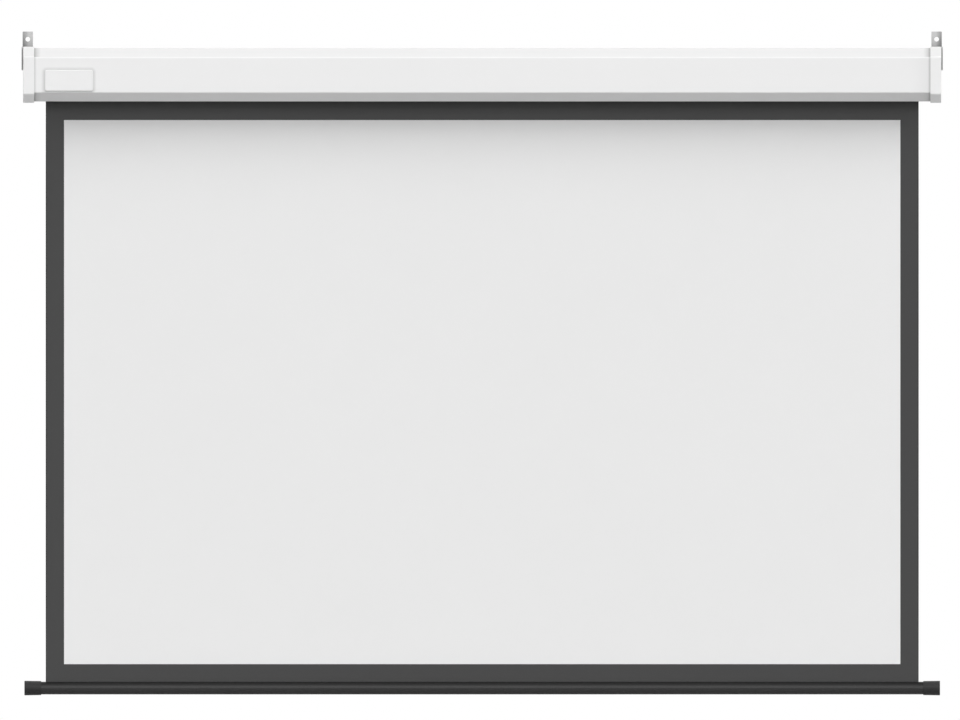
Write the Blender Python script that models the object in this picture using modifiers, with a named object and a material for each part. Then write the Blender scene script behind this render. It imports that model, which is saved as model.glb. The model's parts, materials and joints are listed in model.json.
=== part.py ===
"""Motorized wall-mounted projector screen.

An extruded casing hangs on two folded wall brackets and holds a fabric roller.
A tubular motor inside the roller turns it through a planetary gear stage, and
the white viewing surface, with its black border, hangs from the rear of the
roller through a slot in the casing's underside. A round weighted tube keeps
the fabric flat. The origin is the middle of the casing's flat back face, +X is
to the right as the viewer sees it, +Y points to the wall and +Z is up.
"""

import math

import bmesh
import bpy
from mathutils import Matrix, Vector

MM = 0.001

# Viewing surface and the black border printed round it
VIEW_WIDTH = 1600.0 * MM
VIEW_HEIGHT = 1040.9 * MM
BORDER_SIDE = 35.0 * MM
BORDER_BOTTOM = 34.3 * MM
BORDER_TOP_SHOWING = 35.6 * MM
FABRIC_THICKNESS = 0.45 * MM
FABRIC_JOINT = 0.3 * MM

# Sides of round pieces, of screws and small holes, and of tubes, and steps of a fillet
ROUND_SIDES = 24
SMALL_SIDES = 12
TUBE_SIDES = 36
CORNER_STEPS = 3

# Casing extrusion
CASE_HEIGHT = 102.3 * MM
CASE_DEPTH = 96.0 * MM
CASE_WALL = 1.8 * MM
CASE_UPPER_CHAMFER = 17.3 * MM
CASE_LOWER_CHAMFER = 17.6 * MM
CASE_CORNER_RADIUS = 3.0 * MM
FABRIC_TO_CAP = 22.5 * MM
CASE_IN_CAP = 12.0 * MM
SLOT_WIDTH = 14.0 * MM
SLOT_LIP = 5.0 * MM

# Screw ports that run the length of the extrusion
PORT_RADIUS = 3.8 * MM
PORT_SEAT = 2.3 * MM
PORT_MOUTH_HALF_ANGLE = math.radians(28)
PORT_TOP_REAR_INSET = 14.0 * MM
PORT_TOP_FRONT_INSET = 25.0 * MM
PORT_BOTTOM_FRONT_INSET = 26.0 * MM

# End caps and end plates
CAP_WIDTH = 20.9 * MM
CAP_WALL = 2.2 * MM
CAP_END_WALL = 2.5 * MM
CAP_EDGE = 1.0 * MM
CAP_EDGE_STEPS = 2
CAP_EDGE_ANGLE = math.radians(60)
PLATE_THICKNESS = 2.0 * MM
CAP_BOSS_WALL = 2.0 * MM

# Gaps between pieces
GAP = 0.3 * MM
RUNNING_GAP = 0.3 * MM

# How far a cutter runs past the piece that it cuts, and a stub into the piece that carries it
BEYOND = 1.0 * MM
FUSED_DEPTH = 0.5 * MM

# Points closer than this are one point
WELD_DISTANCE = 0.001 * MM

# Wall brackets
BRACKET_THICKNESS = 2.5 * MM
BRACKET_BEND_RADIUS = 1.5 * MM
BRACKET_DEPTH = 48.0 * MM
BRACKET_HEIGHT = 45.3 * MM
BRACKET_CORNER_RADIUS = 6.0 * MM
EAR_WIDTH = 19.9 * MM
EAR_HEIGHT = 29.0 * MM
EAR_SIDE_STEP = 1.9 * MM
EAR_CORNER_RADIUS = 1.5 * MM
EAR_HOLE_RADIUS = 4.5 * MM
EAR_HOLE_ABOVE_CAP = 14.3 * MM
BRACKET_SCREW_DROP = 21.0 * MM
BRACKET_SCREW_FROM_BACK = 16.0 * MM
BRACKET_SCREW_PITCH = 18.0 * MM

# Countersunk screws: (shank radius, head radius, head depth, length)
END_SCREW = (1.6 * MM, 3.5 * MM, 1.9 * MM, 22.0 * MM)
BRACKET_SCREW = (2.0 * MM, 4.4 * MM, 2.2 * MM, 13.0 * MM)
SOCKET_DEPTH = 1.2 * MM
SOCKET_TO_SHANK = 0.75
HEAD_SET_IN = 0.1 * MM

# Cable inlet in the left end
INLET_BORE_RADIUS = 3.5 * MM
INLET_WALL = 1.6 * MM
INLET_FLANGE = 1.8 * MM
INLET_FLANGE_THICKNESS = 1.0 * MM
INLET_DEPTH_INSIDE = 4.0 * MM
INLET_FROM_BACK = 26.0 * MM
INLET_ABOVE_BOTTOM = 21.15 * MM

# Roller
ROLLER_RADIUS = 25.0 * MM
ROLLER_WALL = 1.5 * MM
ROLLER_END_ROOM = 23.5 * MM
ROLL_THICKNESS = 1.2 * MM
DROP_RADIUS = 27.0 * MM

# Channel that grips the fabric's edge, in the roller and in the bottom tube
CHANNEL_RADIUS = 2.2 * MM
CHANNEL_WALL = 1.1 * MM
CHANNEL_LIP = 1.0 * MM
CHANNEL_MOUTH_HALF = 1.0 * MM
NOTCH_ROUNDNESS = 0.9

# Tubular motor
MOTOR_RADIUS = 17.5 * MM
MOTOR_WALL = 1.5 * MM
MOTOR_LENGTH = 428.0 * MM
HEAD_RADIUS = 23.0 * MM
HEAD_EDGE = 1.5 * MM
HEAD_STEP = 2.0 * MM
HEAD_LEDGE = 5.0 * MM
HEAD_PLUG_LENGTH = 12.0 * MM
HEAD_TO_ROLLER = 2.0 * MM
MOTOR_TO_WHEEL = 3.0 * MM
SPIGOT_SIDE = 14.0 * MM
SPIGOT_NECK_RADIUS = 6.0 * MM
SPIGOT_CORNER_RADIUS = 1.2 * MM
SPIGOT_TIP = 0.9 * MM
CLIP_THICKNESS = 1.5 * MM
CLIP_RADIUS = 11.0 * MM
CLIP_LEG = 7.7 * MM
CLIP_OPENING_ANGLE = math.radians(60)
CROWN_LENGTH = 12.0 * MM
CROWN_SET_IN = 1.0 * MM
WHEEL_LENGTH = 16.0 * MM
WHEEL_HOLES = 6
WHEEL_HOLE_RADIUS = 4.0 * MM
SHAFT_RADIUS = 5.0 * MM
SHAFT_FLAT = 1.2 * MM
SHAFT_BEYOND_WHEEL = 2.0 * MM
SHAFT_EDGE = 0.5 * MM
ROTOR_SHAFT_RADIUS = 2.0 * MM
ROTOR_SHAFT_ROOM = 1.0 * MM
ROTOR_AIR_GAP = 0.5 * MM
ROTOR_CORE_SET_IN = 3.0 * MM
ROTOR_TAIL_SET_IN = 2.0 * MM
STATOR_LENGTH = 90.0 * MM
STATOR_BORE_RADIUS = 10.6 * MM
BRAKE_LENGTH = 26.0 * MM
SWITCH_LENGTH = 28.0 * MM
CAPACITOR_LENGTH = 40.0 * MM
CAPACITOR_RADIUS = 14.0 * MM
CAPACITOR_EDGE = 2.0 * MM
PART_SPACING = 4.0 * MM

# Adjusting screws of the two end limits, in the motor's head
LIMIT_SCREW_RADIUS = 2.7 * MM
LIMIT_SCREW_LENGTH = 9.0 * MM
LIMIT_SCREW_PITCH = 8.0 * MM
LIMIT_SCREW_TILT = math.radians(30)
LIMIT_SCREW_SUNK = 1.0 * MM
LIMIT_SCREW_EDGE = 0.5 * MM
LIMIT_SOCKET_RADIUS = 1.5 * MM
LIMIT_SOCKET_DEPTH = 3.0 * MM

# Planetary gear stage: ring fixed, sun on the rotor, carrier on the output
GEAR_MODULE = 0.75 * MM
SUN_TEETH = 12
PLANET_TEETH = 12
RING_TEETH = SUN_TEETH + 2 * PLANET_TEETH
PLANETS = 3
PRESSURE_ANGLE = math.radians(20)
ADDENDUM = 0.8
DEDENDUM = 1.15
BACKLASH = 0.26 * MM
PLANET_LENGTH = 16.0 * MM
RING_LENGTH = 24.0 * MM
CARRIER_THICKNESS = 4.4 * MM
PLANET_PIN_RADIUS = 1.5 * MM
OUTPUT_BUSH_LENGTH = 18.0 * MM
OUTPUT_BUSH_SET_IN = 2.0 * MM

# Idler end of the roller
IDLER_PLUG_LENGTH = 30.0 * MM
IDLER_FLANGE = 2.5 * MM
IDLER_PIN_RADIUS = 6.0 * MM
IDLER_PIN_IN_PLUG = 24.0 * MM
IDLER_PIN_BEYOND_PLATE = 1.0 * MM
IDLER_PIN_EDGE = 0.8 * MM
IDLER_COLLAR_STEP = 2.0 * MM
IDLER_COLLAR_LENGTH = 4.0 * MM
BUSH_WALL = 2.4 * MM
BUSH_FLANGE = 3.0 * MM
BUSH_FLANGE_THICKNESS = 2.5 * MM

# Bottom tube and its caps
BAR_RADIUS = 11.5 * MM
BAR_WALL = 1.6 * MM
BAR_CAP_OUTER_RADIUS = 14.0 * MM
BAR_CAP_INNER_RADIUS = 13.0 * MM
BAR_CAP_LENGTH = 32.0 * MM
BAR_CAP_END_WALL = 6.0 * MM
BAR_CAP_EDGE_RADIUS = 3.0 * MM
BAR_CAP_MOUTH_EDGE = 0.4 * MM
BAR_CAP_SET_IN = 2.5 * MM

# Places worked out from the sizes above
CASE_TOP = CASE_HEIGHT / 2
CASE_BOTTOM = -CASE_HEIGHT / 2
CASE_FRONT = -CASE_DEPTH
AXIS_Y = -CASE_DEPTH / 2
AXIS = Vector((0, AXIS_Y, 0))
FABRIC_Y = AXIS_Y + DROP_RADIUS
SLOT_FRONT = FABRIC_Y - SLOT_WIDTH / 2
SLOT_REAR = FABRIC_Y + SLOT_WIDTH / 2
FABRIC_HALF = VIEW_WIDTH / 2 + BORDER_SIDE
CAP_INNER_X = FABRIC_HALF + FABRIC_TO_CAP
CASE_END_X = CAP_INNER_X + CASE_IN_CAP
PLATE_INNER_X = CASE_END_X + GAP
PLATE_OUTER_X = PLATE_INNER_X + PLATE_THICKNESS
CAP_OUTER_X = CAP_INNER_X + CAP_WIDTH
CAP_WALL_X = CAP_OUTER_X - CAP_END_WALL
BRACKET_INNER_X = CAP_OUTER_X + GAP
BRACKET_OUTER_X = BRACKET_INNER_X + BRACKET_THICKNESS
CAP_OUTSET = GAP + CAP_WALL
CAP_TOP = CASE_TOP + CAP_OUTSET
BRACKET_FRONT_FACE_Y = CAP_OUTSET + GAP
WALL_Y = BRACKET_FRONT_FACE_Y + BRACKET_THICKNESS
EAR_OUTER_X = BRACKET_OUTER_X - EAR_SIDE_STEP
EAR_CENTRE_X = EAR_OUTER_X - EAR_WIDTH / 2
EAR_TOP = CAP_TOP + EAR_HEIGHT
BRACKET_BOTTOM = CAP_TOP - BRACKET_HEIGHT
VIEW_TOP = CASE_BOTTOM - BORDER_TOP_SHOWING
VIEW_BOTTOM = VIEW_TOP - VIEW_HEIGHT
BAR_TOP = VIEW_BOTTOM - BORDER_BOTTOM
BAR_Z = BAR_TOP - BAR_RADIUS
BAR_CAP_X = CAP_OUTER_X - BAR_CAP_SET_IN
TUBE_HALF = BAR_CAP_X - BAR_CAP_END_WALL - GAP
ROLLER_HALF = CASE_END_X - ROLLER_END_ROOM
HEAD_END_X = -CASE_END_X
MOTOR_START_X = -ROLLER_HALF - HEAD_TO_ROLLER
MOTOR_END_X = MOTOR_START_X + MOTOR_LENGTH
COLLAR_END_X = MOTOR_START_X - GAP
WHEEL_START_X = MOTOR_END_X + MOTOR_TO_WHEEL
WHEEL_END_X = WHEEL_START_X + WHEEL_LENGTH
MOTOR_BORE_RADIUS = MOTOR_RADIUS - MOTOR_WALL
INSIDE_RADIUS = MOTOR_BORE_RADIUS - GAP
ROLLER_BORE_RADIUS = ROLLER_RADIUS - ROLLER_WALL
CHANNEL_IN_ROLLER = ROLLER_RADIUS - CHANNEL_LIP - CHANNEL_RADIUS
CHANNEL_IN_BAR = BAR_RADIUS - CHANNEL_LIP - CHANNEL_RADIUS
CHANNEL_OUTER_RADIUS = CHANNEL_RADIUS + CHANNEL_WALL
BEAD_RADIUS = CHANNEL_RADIUS - GAP
INLET_RADIUS = INLET_BORE_RADIUS + INLET_WALL
INLET_CENTRE = (-INLET_FROM_BACK, CASE_BOTTOM + INLET_ABOVE_BOTTOM)
GROOVE_END_X = PLATE_OUTER_X + CLIP_THICKNESS + 2 * GAP
PLANET_ORBIT = GEAR_MODULE * (SUN_TEETH + PLANET_TEETH) / 2
BUSH_RADIUS = IDLER_PIN_RADIUS + RUNNING_GAP + BUSH_WALL

END_PORTS = (
    (-PORT_TOP_REAR_INSET, 1),
    (CASE_FRONT + PORT_TOP_FRONT_INSET, 1),
    (SLOT_REAR / 2, -1),
    (CASE_FRONT + PORT_BOTTOM_FRONT_INSET, -1),
)

# Axes that stand a piece modelled along its own Z on X, Y or another line
ALONG_X = Matrix(((0, 0, 1, 0), (1, 0, 0, 0), (0, 1, 0, 0), (0, 0, 0, 1)))
ALONG_Y = Matrix(((1, 0, 0, 0), (0, 0, -1, 0), (0, 1, 0, 0), (0, 0, 0, 1)))
ALONG_Z = Matrix.Identity(4)

# Faces that meet at less than this angle are shaded as one round surface
SMOOTH_ANGLE = math.radians(32)

parts = None
cutters = None
materials = {}


def clear_scene():
    """Removes whatever the scene held, and makes the two collections."""
    global parts, cutters
    for obj in list(bpy.data.objects):
        bpy.data.objects.remove(obj, do_unlink=True)
    parts = bpy.data.collections.new("projector_screen")
    cutters = bpy.data.collections.new("cutters")
    for group in (parts, cutters):
        bpy.context.scene.collection.children.link(group)


def material(name, grey, roughness, metallic=0.0):
    """A plain Principled material; grey is one level or three."""
    if name not in materials:
        made = bpy.data.materials.new(name)
        made.use_nodes = True
        colour = grey if isinstance(grey, tuple) else (grey, grey, grey)
        shader = made.node_tree.nodes["Principled BSDF"]
        shader.inputs["Base Color"].default_value = (*colour, 1)
        shader.inputs["Roughness"].default_value = roughness
        shader.inputs["Metallic"].default_value = metallic
        made.diffuse_color = (*colour, 1)
        materials[name] = made
    return materials[name]


def white_paint():
    return material("white_powder_coat", 0.82, 0.45)


def white_plastic():
    return material("white_abs", 0.84, 0.4)


def grey_steel():
    return material("grey_painted_steel", 0.32, 0.5, 0.2)


def zinc():
    return material("zinc_plated_steel", 0.6, 0.35, 1.0)


def aluminium():
    return material("mill_aluminium", 0.72, 0.4, 1.0)


def black_plastic():
    return material("black_abs", 0.03, 0.45)


def black_paint():
    return material("black_powder_coat", 0.035, 0.4)


def nylon():
    return material("natural_nylon", (0.75, 0.73, 0.66), 0.5)


def gear_steel():
    return material("gear_steel", 0.45, 0.3, 1.0)


def copper_stack():
    return material("motor_steel_and_copper", (0.45, 0.26, 0.15), 0.45, 0.8)


def white_fabric():
    return material("matt_white_vinyl", 0.86, 0.9)


def black_fabric():
    return material("matt_black_print", 0.05, 0.9)


def arc(centre, radius, start, end, steps):
    """Points along an arc, both ends included."""
    points = []
    for i in range(steps + 1):
        angle = start + (end - start) * i / steps
        points.append(
            (
                centre[0] + radius * math.cos(angle),
                centre[1] + radius * math.sin(angle),
            )
        )
    return points


def circle(centre, radius, steps=ROUND_SIDES):
    return arc(centre, radius, 0, math.tau, steps)[:-1]


def offset_outline(corners, distance):
    """The corners of a convex outline moved outward by the same distance on every side."""
    moved = []
    for i, corner in enumerate(corners):
        here = Vector(corner)
        before = (here - Vector(corners[i - 1])).normalized()
        after = (Vector(corners[(i + 1) % len(corners)]) - here).normalized()
        out_before = Vector((before.y, -before.x))
        out_after = Vector((after.y, -after.x))
        share = distance / (1 + out_before.dot(out_after))
        moved.append(tuple(here + (out_before + out_after) * share))
    return moved


def rounded(corners, radius, steps=CORNER_STEPS):
    """A closed outline with each corner turned into a fillet of one radius."""
    points = []
    for i, corner in enumerate(corners):
        here = Vector(corner)
        to_before = (Vector(corners[i - 1]) - here).normalized()
        to_after = (Vector(corners[(i + 1) % len(corners)]) - here).normalized()
        half = to_before.angle(to_after) / 2
        centre = here + (to_before + to_after).normalized() * (radius / math.sin(half))
        start = here + to_before * (radius / math.tan(half)) - centre
        end = here + to_after * (radius / math.tan(half)) - centre
        first = math.atan2(start.y, start.x)
        sweep = math.atan2(end.y, end.x) - first
        sweep = (sweep + math.pi) % math.tau - math.pi
        points += arc(tuple(centre), radius, first, first + sweep, steps)
    return points


def rectangle(width, height, centre=(0, 0)):
    u, v = centre
    w, h = width / 2, height / 2
    return [(u - w, v - h), (u + w, v - h), (u + w, v + h), (u - w, v + h)]


def add_object(name, mesh, finish, place):
    """Links a mesh as a named object of the screen."""
    made = bpy.data.objects.new(name, mesh)
    made.matrix_world = place
    parts.objects.link(made)
    if finish is not None:
        mesh.materials.clear()
        mesh.materials.append(finish)
    return made


def baked(guide, name, finish):
    """Replaces a curve or a modified object by the mesh that it evaluates to."""
    bpy.context.view_layer.update()
    graph = bpy.context.evaluated_depsgraph_get()
    mesh = bpy.data.meshes.new_from_object(guide.evaluated_get(graph))
    shape = bmesh.new()
    shape.from_mesh(mesh)
    bmesh.ops.remove_doubles(shape, verts=shape.verts, dist=WELD_DISTANCE)
    bmesh.ops.recalc_face_normals(shape, faces=shape.faces)
    shape.to_mesh(mesh)
    shape.free()
    mesh.name = name
    place = guide.matrix_world.copy()
    bpy.data.objects.remove(guide, do_unlink=True)
    return add_object(name, mesh, finish, place)


def outline_solid(name, outlines, thickness, axes, centre, finish=None):
    """A flat outline, with any holes, drawn as a 2D curve and made thick about its centre."""
    curve = bpy.data.curves.new(name, "CURVE")
    curve.dimensions = "2D"
    curve.fill_mode = "BOTH"
    curve.extrude = thickness / 2
    for outline in outlines:
        spline = curve.splines.new("POLY")
        spline.points.add(len(outline) - 1)
        for point, (u, v) in zip(spline.points, outline):
            point.co = (u, v, 0, 1)
        spline.use_cyclic_u = True
    guide = bpy.data.objects.new(name + "_outline", curve)
    guide.matrix_world = Matrix.Translation(centre) @ axes
    parts.objects.link(guide)
    return baked(guide, name, finish)


def cross_section(name, outlines, x_start, x_end, centre=(0, 0), finish=None):
    """An outline in the YZ plane made into a solid between two places along X."""
    middle = Vector(((x_start + x_end) / 2, centre[0], centre[1]))
    return outline_solid(name, outlines, abs(x_end - x_start), ALONG_X, middle, finish)


def turned(name, profile, axes, centre, steps=ROUND_SIDES, finish=None):
    """A turned solid: (radius, height) points down the outer side, made round by a Screw."""
    mesh = bpy.data.meshes.new(name)
    hollow = profile[0][0] > 0
    count = len(profile)
    edges = [(i, i + 1) for i in range(count - 1)]
    if hollow:
        edges.append((count - 1, 0))
    mesh.from_pydata([(r, 0, h) for r, h in profile], edges, [])
    guide = bpy.data.objects.new(name + "_profile", mesh)
    guide.matrix_world = Matrix.Translation(centre) @ axes
    parts.objects.link(guide)
    screw = guide.modifiers.new("turn", "SCREW")
    screw.axis = "Z"
    screw.angle = math.tau
    screw.steps = steps
    screw.render_steps = steps
    screw.use_merge_vertices = True
    screw.merge_threshold = WELD_DISTANCE
    return baked(guide, name, finish)


def turned_x(name, profile, centre=AXIS, outward=1, steps=ROUND_SIDES, finish=None):
    """A turned solid on a line along X; outward -1 points its height to -X."""
    turn = Matrix.Rotation(outward * math.pi / 2, 4, "Y")
    return turned(name, profile, turn, centre, steps, finish)


def disc_profile(radius, bottom, top):
    return [(0, top), (radius, top), (radius, bottom), (0, bottom)]


def helper(obj):
    """Marks an object as a cutter, which no one sees in a render."""
    parts.objects.unlink(obj)
    cutters.objects.link(obj)
    obj.hide_render = True
    obj.display_type = "WIRE"
    return obj


def combine(obj, other, operation):
    """One Boolean with the exact solver."""
    modifier = obj.modifiers.new(operation.lower(), "BOOLEAN")
    modifier.operation = operation
    modifier.solver = "EXACT"
    modifier.object = helper(other)
    return obj


def cut(obj, other):
    return combine(obj, other, "DIFFERENCE")


def fuse(obj, other):
    return combine(obj, other, "UNION")


def common(obj, other):
    return combine(obj, other, "INTERSECT")


def soften(obj, width, steps, angle):
    """Rounded edges where the faces meet at more than the angle, once flat faces are whole."""
    shape = bmesh.new()
    shape.from_mesh(obj.data)
    flat = math.radians(0.1)
    bmesh.ops.dissolve_limit(shape, angle_limit=flat, verts=shape.verts, edges=shape.edges)
    shape.to_mesh(obj.data)
    shape.free()
    bevel = obj.modifiers.new("edge", "BEVEL")
    bevel.width = width
    bevel.segments = steps
    bevel.limit_method = "ANGLE"
    bevel.angle_limit = angle
    bevel.use_clamp_overlap = True
    return obj


def screw_profile(size, clearance=0.0, through=0.0):
    """A countersunk screw with its flat end up; with a clearance it is the hole for one."""
    shank, head, depth, length = size
    shank += clearance
    head += clearance
    depth += clearance
    return [(0, through), (head, through), (head, 0), (shank, -depth), (shank, -length), (0, -length)]


def socket_cutter(name, radius, depth, axes, centre):
    """The six-sided recess that a key turns."""
    bpy.ops.mesh.primitive_cylinder_add(vertices=6, radius=radius, depth=2 * depth)
    made = bpy.context.object
    made.name = name
    for group in list(made.users_collection):
        group.objects.unlink(made)
    parts.objects.link(made)
    made.matrix_world = Matrix.Translation(centre) @ axes
    return made


def screw_along_x(name, size, x, y, z, side):
    """One countersunk screw with its head outward, level with its seat."""
    centre = Vector((side * x, y, z))
    made = turned_x(name, screw_profile(size), centre, side, SMALL_SIDES, zinc())
    turn = Matrix.Rotation(side * math.pi / 2, 4, "Y")
    key = size[0] * SOCKET_TO_SHANK
    return cut(made, socket_cutter(name + "_socket", key, SOCKET_DEPTH, turn, centre))


def side_name(side):
    return "left" if side < 0 else "right"


def case_corners(distance=0.0):
    """The casing's outline in (Y, Z), anticlockwise from its lower rear corner."""
    corners = [
        (0, CASE_BOTTOM),
        (0, CASE_TOP),
        (CASE_FRONT + CASE_UPPER_CHAMFER, CASE_TOP),
        (CASE_FRONT, CASE_TOP - CASE_UPPER_CHAMFER),
        (CASE_FRONT, CASE_BOTTOM + CASE_LOWER_CHAMFER),
        (CASE_FRONT + CASE_LOWER_CHAMFER, CASE_BOTTOM),
    ]
    return offset_outline(corners, distance)


def case_outline(distance=0.0):
    return rounded(case_corners(distance), CASE_CORNER_RADIUS + distance)


def port_centre(y, wall):
    """The centre of a screw port on the top (1) or bottom (-1) wall."""
    return (y, wall * (CASE_TOP - CASE_WALL - PORT_SEAT))


def port_bore_radius():
    return END_SCREW[0] + GAP


def port_outline(y, wall):
    """A C-shaped screw port standing on a wall, entered and left along that wall."""
    centre = port_centre(y, wall)
    turn = math.pi if wall > 0 else 0.0
    seat = math.asin(PORT_SEAT / PORT_RADIUS)
    mouth = math.pi / 2 - PORT_MOUTH_HALF_ANGLE
    far = math.pi - mouth
    bore = port_bore_radius()
    outer = arc(centre, PORT_RADIUS, turn - seat, turn + mouth, 4)
    inner = arc(centre, bore, turn + mouth, turn + far - math.tau, 10)
    back = arc(centre, PORT_RADIUS, turn + far, turn + math.pi + seat, 4)
    return outer + inner + back


def casing():
    """The extruded casing: a thin chamfered box with a lipped slot and four screw ports."""
    outside = rounded(case_corners(), CASE_CORNER_RADIUS)
    inside = rounded(case_corners(-CASE_WALL), CASE_CORNER_RADIUS - CASE_WALL)
    per_corner = CORNER_STEPS + 1
    corner = [inside[i : i + per_corner] for i in range(0, len(inside), per_corner)]
    lower_rear, upper_rear, upper_front, front_top, front_bottom, lower_front = [
        list(reversed(points)) for points in corner
    ]
    floor = CASE_BOTTOM + CASE_WALL
    lip_top = CASE_BOTTOM + SLOT_LIP
    top_rear, top_front, bottom_rear, bottom_front = [
        port_outline(y, wall) for y, wall in END_PORTS
    ]
    outline = outside + [
        (SLOT_FRONT, CASE_BOTTOM),
        (SLOT_FRONT, lip_top),
        (SLOT_FRONT - CASE_WALL, lip_top),
        (SLOT_FRONT - CASE_WALL, floor),
    ]
    outline += bottom_front + lower_front + front_bottom + front_top + upper_front
    outline += top_front + top_rear + upper_rear + lower_rear + bottom_rear
    outline += [
        (SLOT_REAR + CASE_WALL, floor),
        (SLOT_REAR + CASE_WALL, lip_top),
        (SLOT_REAR, lip_top),
        (SLOT_REAR, CASE_BOTTOM),
    ]
    cross_section("casing", [outline], -CASE_END_X, CASE_END_X, finish=white_paint())


def bracket_screw_places():
    """(Y, Z) of the two screws that hold a bracket to its end plate."""
    z = CAP_TOP - BRACKET_SCREW_DROP
    rear = -BRACKET_SCREW_FROM_BACK
    return [(rear, z), (rear - BRACKET_SCREW_PITCH, z)]


def end_plate(side):
    """A steel plate that closes the casing's end and carries one end of the roller."""
    holes = [circle(port_centre(y, wall), port_bore_radius(), SMALL_SIDES) for y, wall in END_PORTS]
    screw_hole = BRACKET_SCREW[0] + GAP
    holes += [circle(place, screw_hole, SMALL_SIDES) for place in bracket_screw_places()]
    if side < 0:
        square = rectangle(SPIGOT_SIDE + 2 * GAP, SPIGOT_SIDE + 2 * GAP, (AXIS_Y, 0))
        holes.append(rounded(square, SPIGOT_CORNER_RADIUS + GAP))
        holes.append(circle(INLET_CENTRE, INLET_RADIUS + GAP))
    else:
        holes.append(circle((AXIS_Y, 0), BUSH_RADIUS + GAP))
    cross_section(
        side_name(side) + "_end_plate",
        [case_outline()] + holes,
        side * PLATE_INNER_X,
        side * PLATE_OUTER_X,
        finish=zinc(),
    )


def cap_boss(name, place, bore, side):
    """A stub inside the cap's end wall that bears on the end plate round a screw."""
    outline = [circle(place, bore + CAP_BOSS_WALL, SMALL_SIDES)]
    inner = PLATE_OUTER_X + GAP
    return cross_section(name, outline, side * inner, side * (CAP_WALL_X + FUSED_DEPTH))


def end_cap(side):
    """A moulded cup over the end of the casing, with a stub and a hole for each screw."""
    label = side_name(side) + "_end_cap"
    cap = cross_section(
        label,
        [case_outline(CAP_OUTSET)],
        side * CAP_INNER_X,
        side * CAP_OUTER_X,
        finish=white_plastic(),
    )
    soften(cap, CAP_EDGE, CAP_EDGE_STEPS, CAP_EDGE_ANGLE)
    hollow = [case_outline(GAP)]
    mouth = CAP_INNER_X - BEYOND
    cut(cap, cross_section(label + "_hollow", hollow, side * mouth, side * CAP_WALL_X))
    end_places = [port_centre(y, wall) for y, wall in END_PORTS]
    for i, place in enumerate(end_places):
        fuse(cap, cap_boss(f"{label}_boss_{i}", place, END_SCREW[0] + GAP, side))
    for i, place in enumerate(bracket_screw_places()):
        fuse(cap, cap_boss(f"{label}_stub_{i}", place, BRACKET_SCREW[0] + GAP, side))
    for i, (y, z) in enumerate(end_places):
        profile = screw_profile(END_SCREW, GAP, BEYOND)
        centre = Vector((side * CAP_OUTER_X, y, z))
        cut(cap, turned_x(f"{label}_seat_{i}", profile, centre, side, SMALL_SIDES))
    for i, place in enumerate(bracket_screw_places()):
        hole = [circle(place, BRACKET_SCREW[0] + GAP, SMALL_SIDES)]
        inner, outer = PLATE_INNER_X, CAP_OUTER_X + BEYOND
        cut(cap, cross_section(f"{label}_hole_{i}", hole, side * inner, side * outer))
    if side < 0:
        y, z = INLET_CENTRE
        centre = Vector((-CAP_OUTER_X, y, z))
        rim = INLET_RADIUS + INLET_FLANGE + GAP
        depth = INLET_FLANGE_THICKNESS + GAP
        bore = INLET_RADIUS + GAP
        inside = CAP_WALL_X - CAP_OUTER_X - BEYOND
        profile = [(0, BEYOND), (rim, BEYOND), (rim, -depth), (bore, -depth)]
        profile += [(bore, inside), (0, inside)]
        cut(cap, turned_x(label + "_inlet", profile, centre, side))


def end_screws(side):
    for i, (y, wall) in enumerate(END_PORTS):
        centre = port_centre(y, wall)
        name = f"{side_name(side)}_end_screw_{i + 1}"
        screw_along_x(name, END_SCREW, CAP_OUTER_X - HEAD_SET_IN, centre[0], centre[1], side)


def cable_grommet():
    """A flanged sleeve that lines the cable inlet of the left end."""
    y, z = INLET_CENTRE
    flange = INLET_RADIUS + INLET_FLANGE
    depth = CAP_OUTER_X - PLATE_INNER_X + INLET_DEPTH_INSIDE
    profile = [
        (flange, 0),
        (flange, -INLET_FLANGE_THICKNESS),
        (INLET_RADIUS, -INLET_FLANGE_THICKNESS),
        (INLET_RADIUS, -depth),
        (INLET_BORE_RADIUS, -depth),
        (INLET_BORE_RADIUS, 0),
    ]
    start = Vector((-CAP_OUTER_X, y, z))
    turned_x("cable_grommet", profile, start, -1, ROUND_SIDES, black_plastic())


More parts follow.
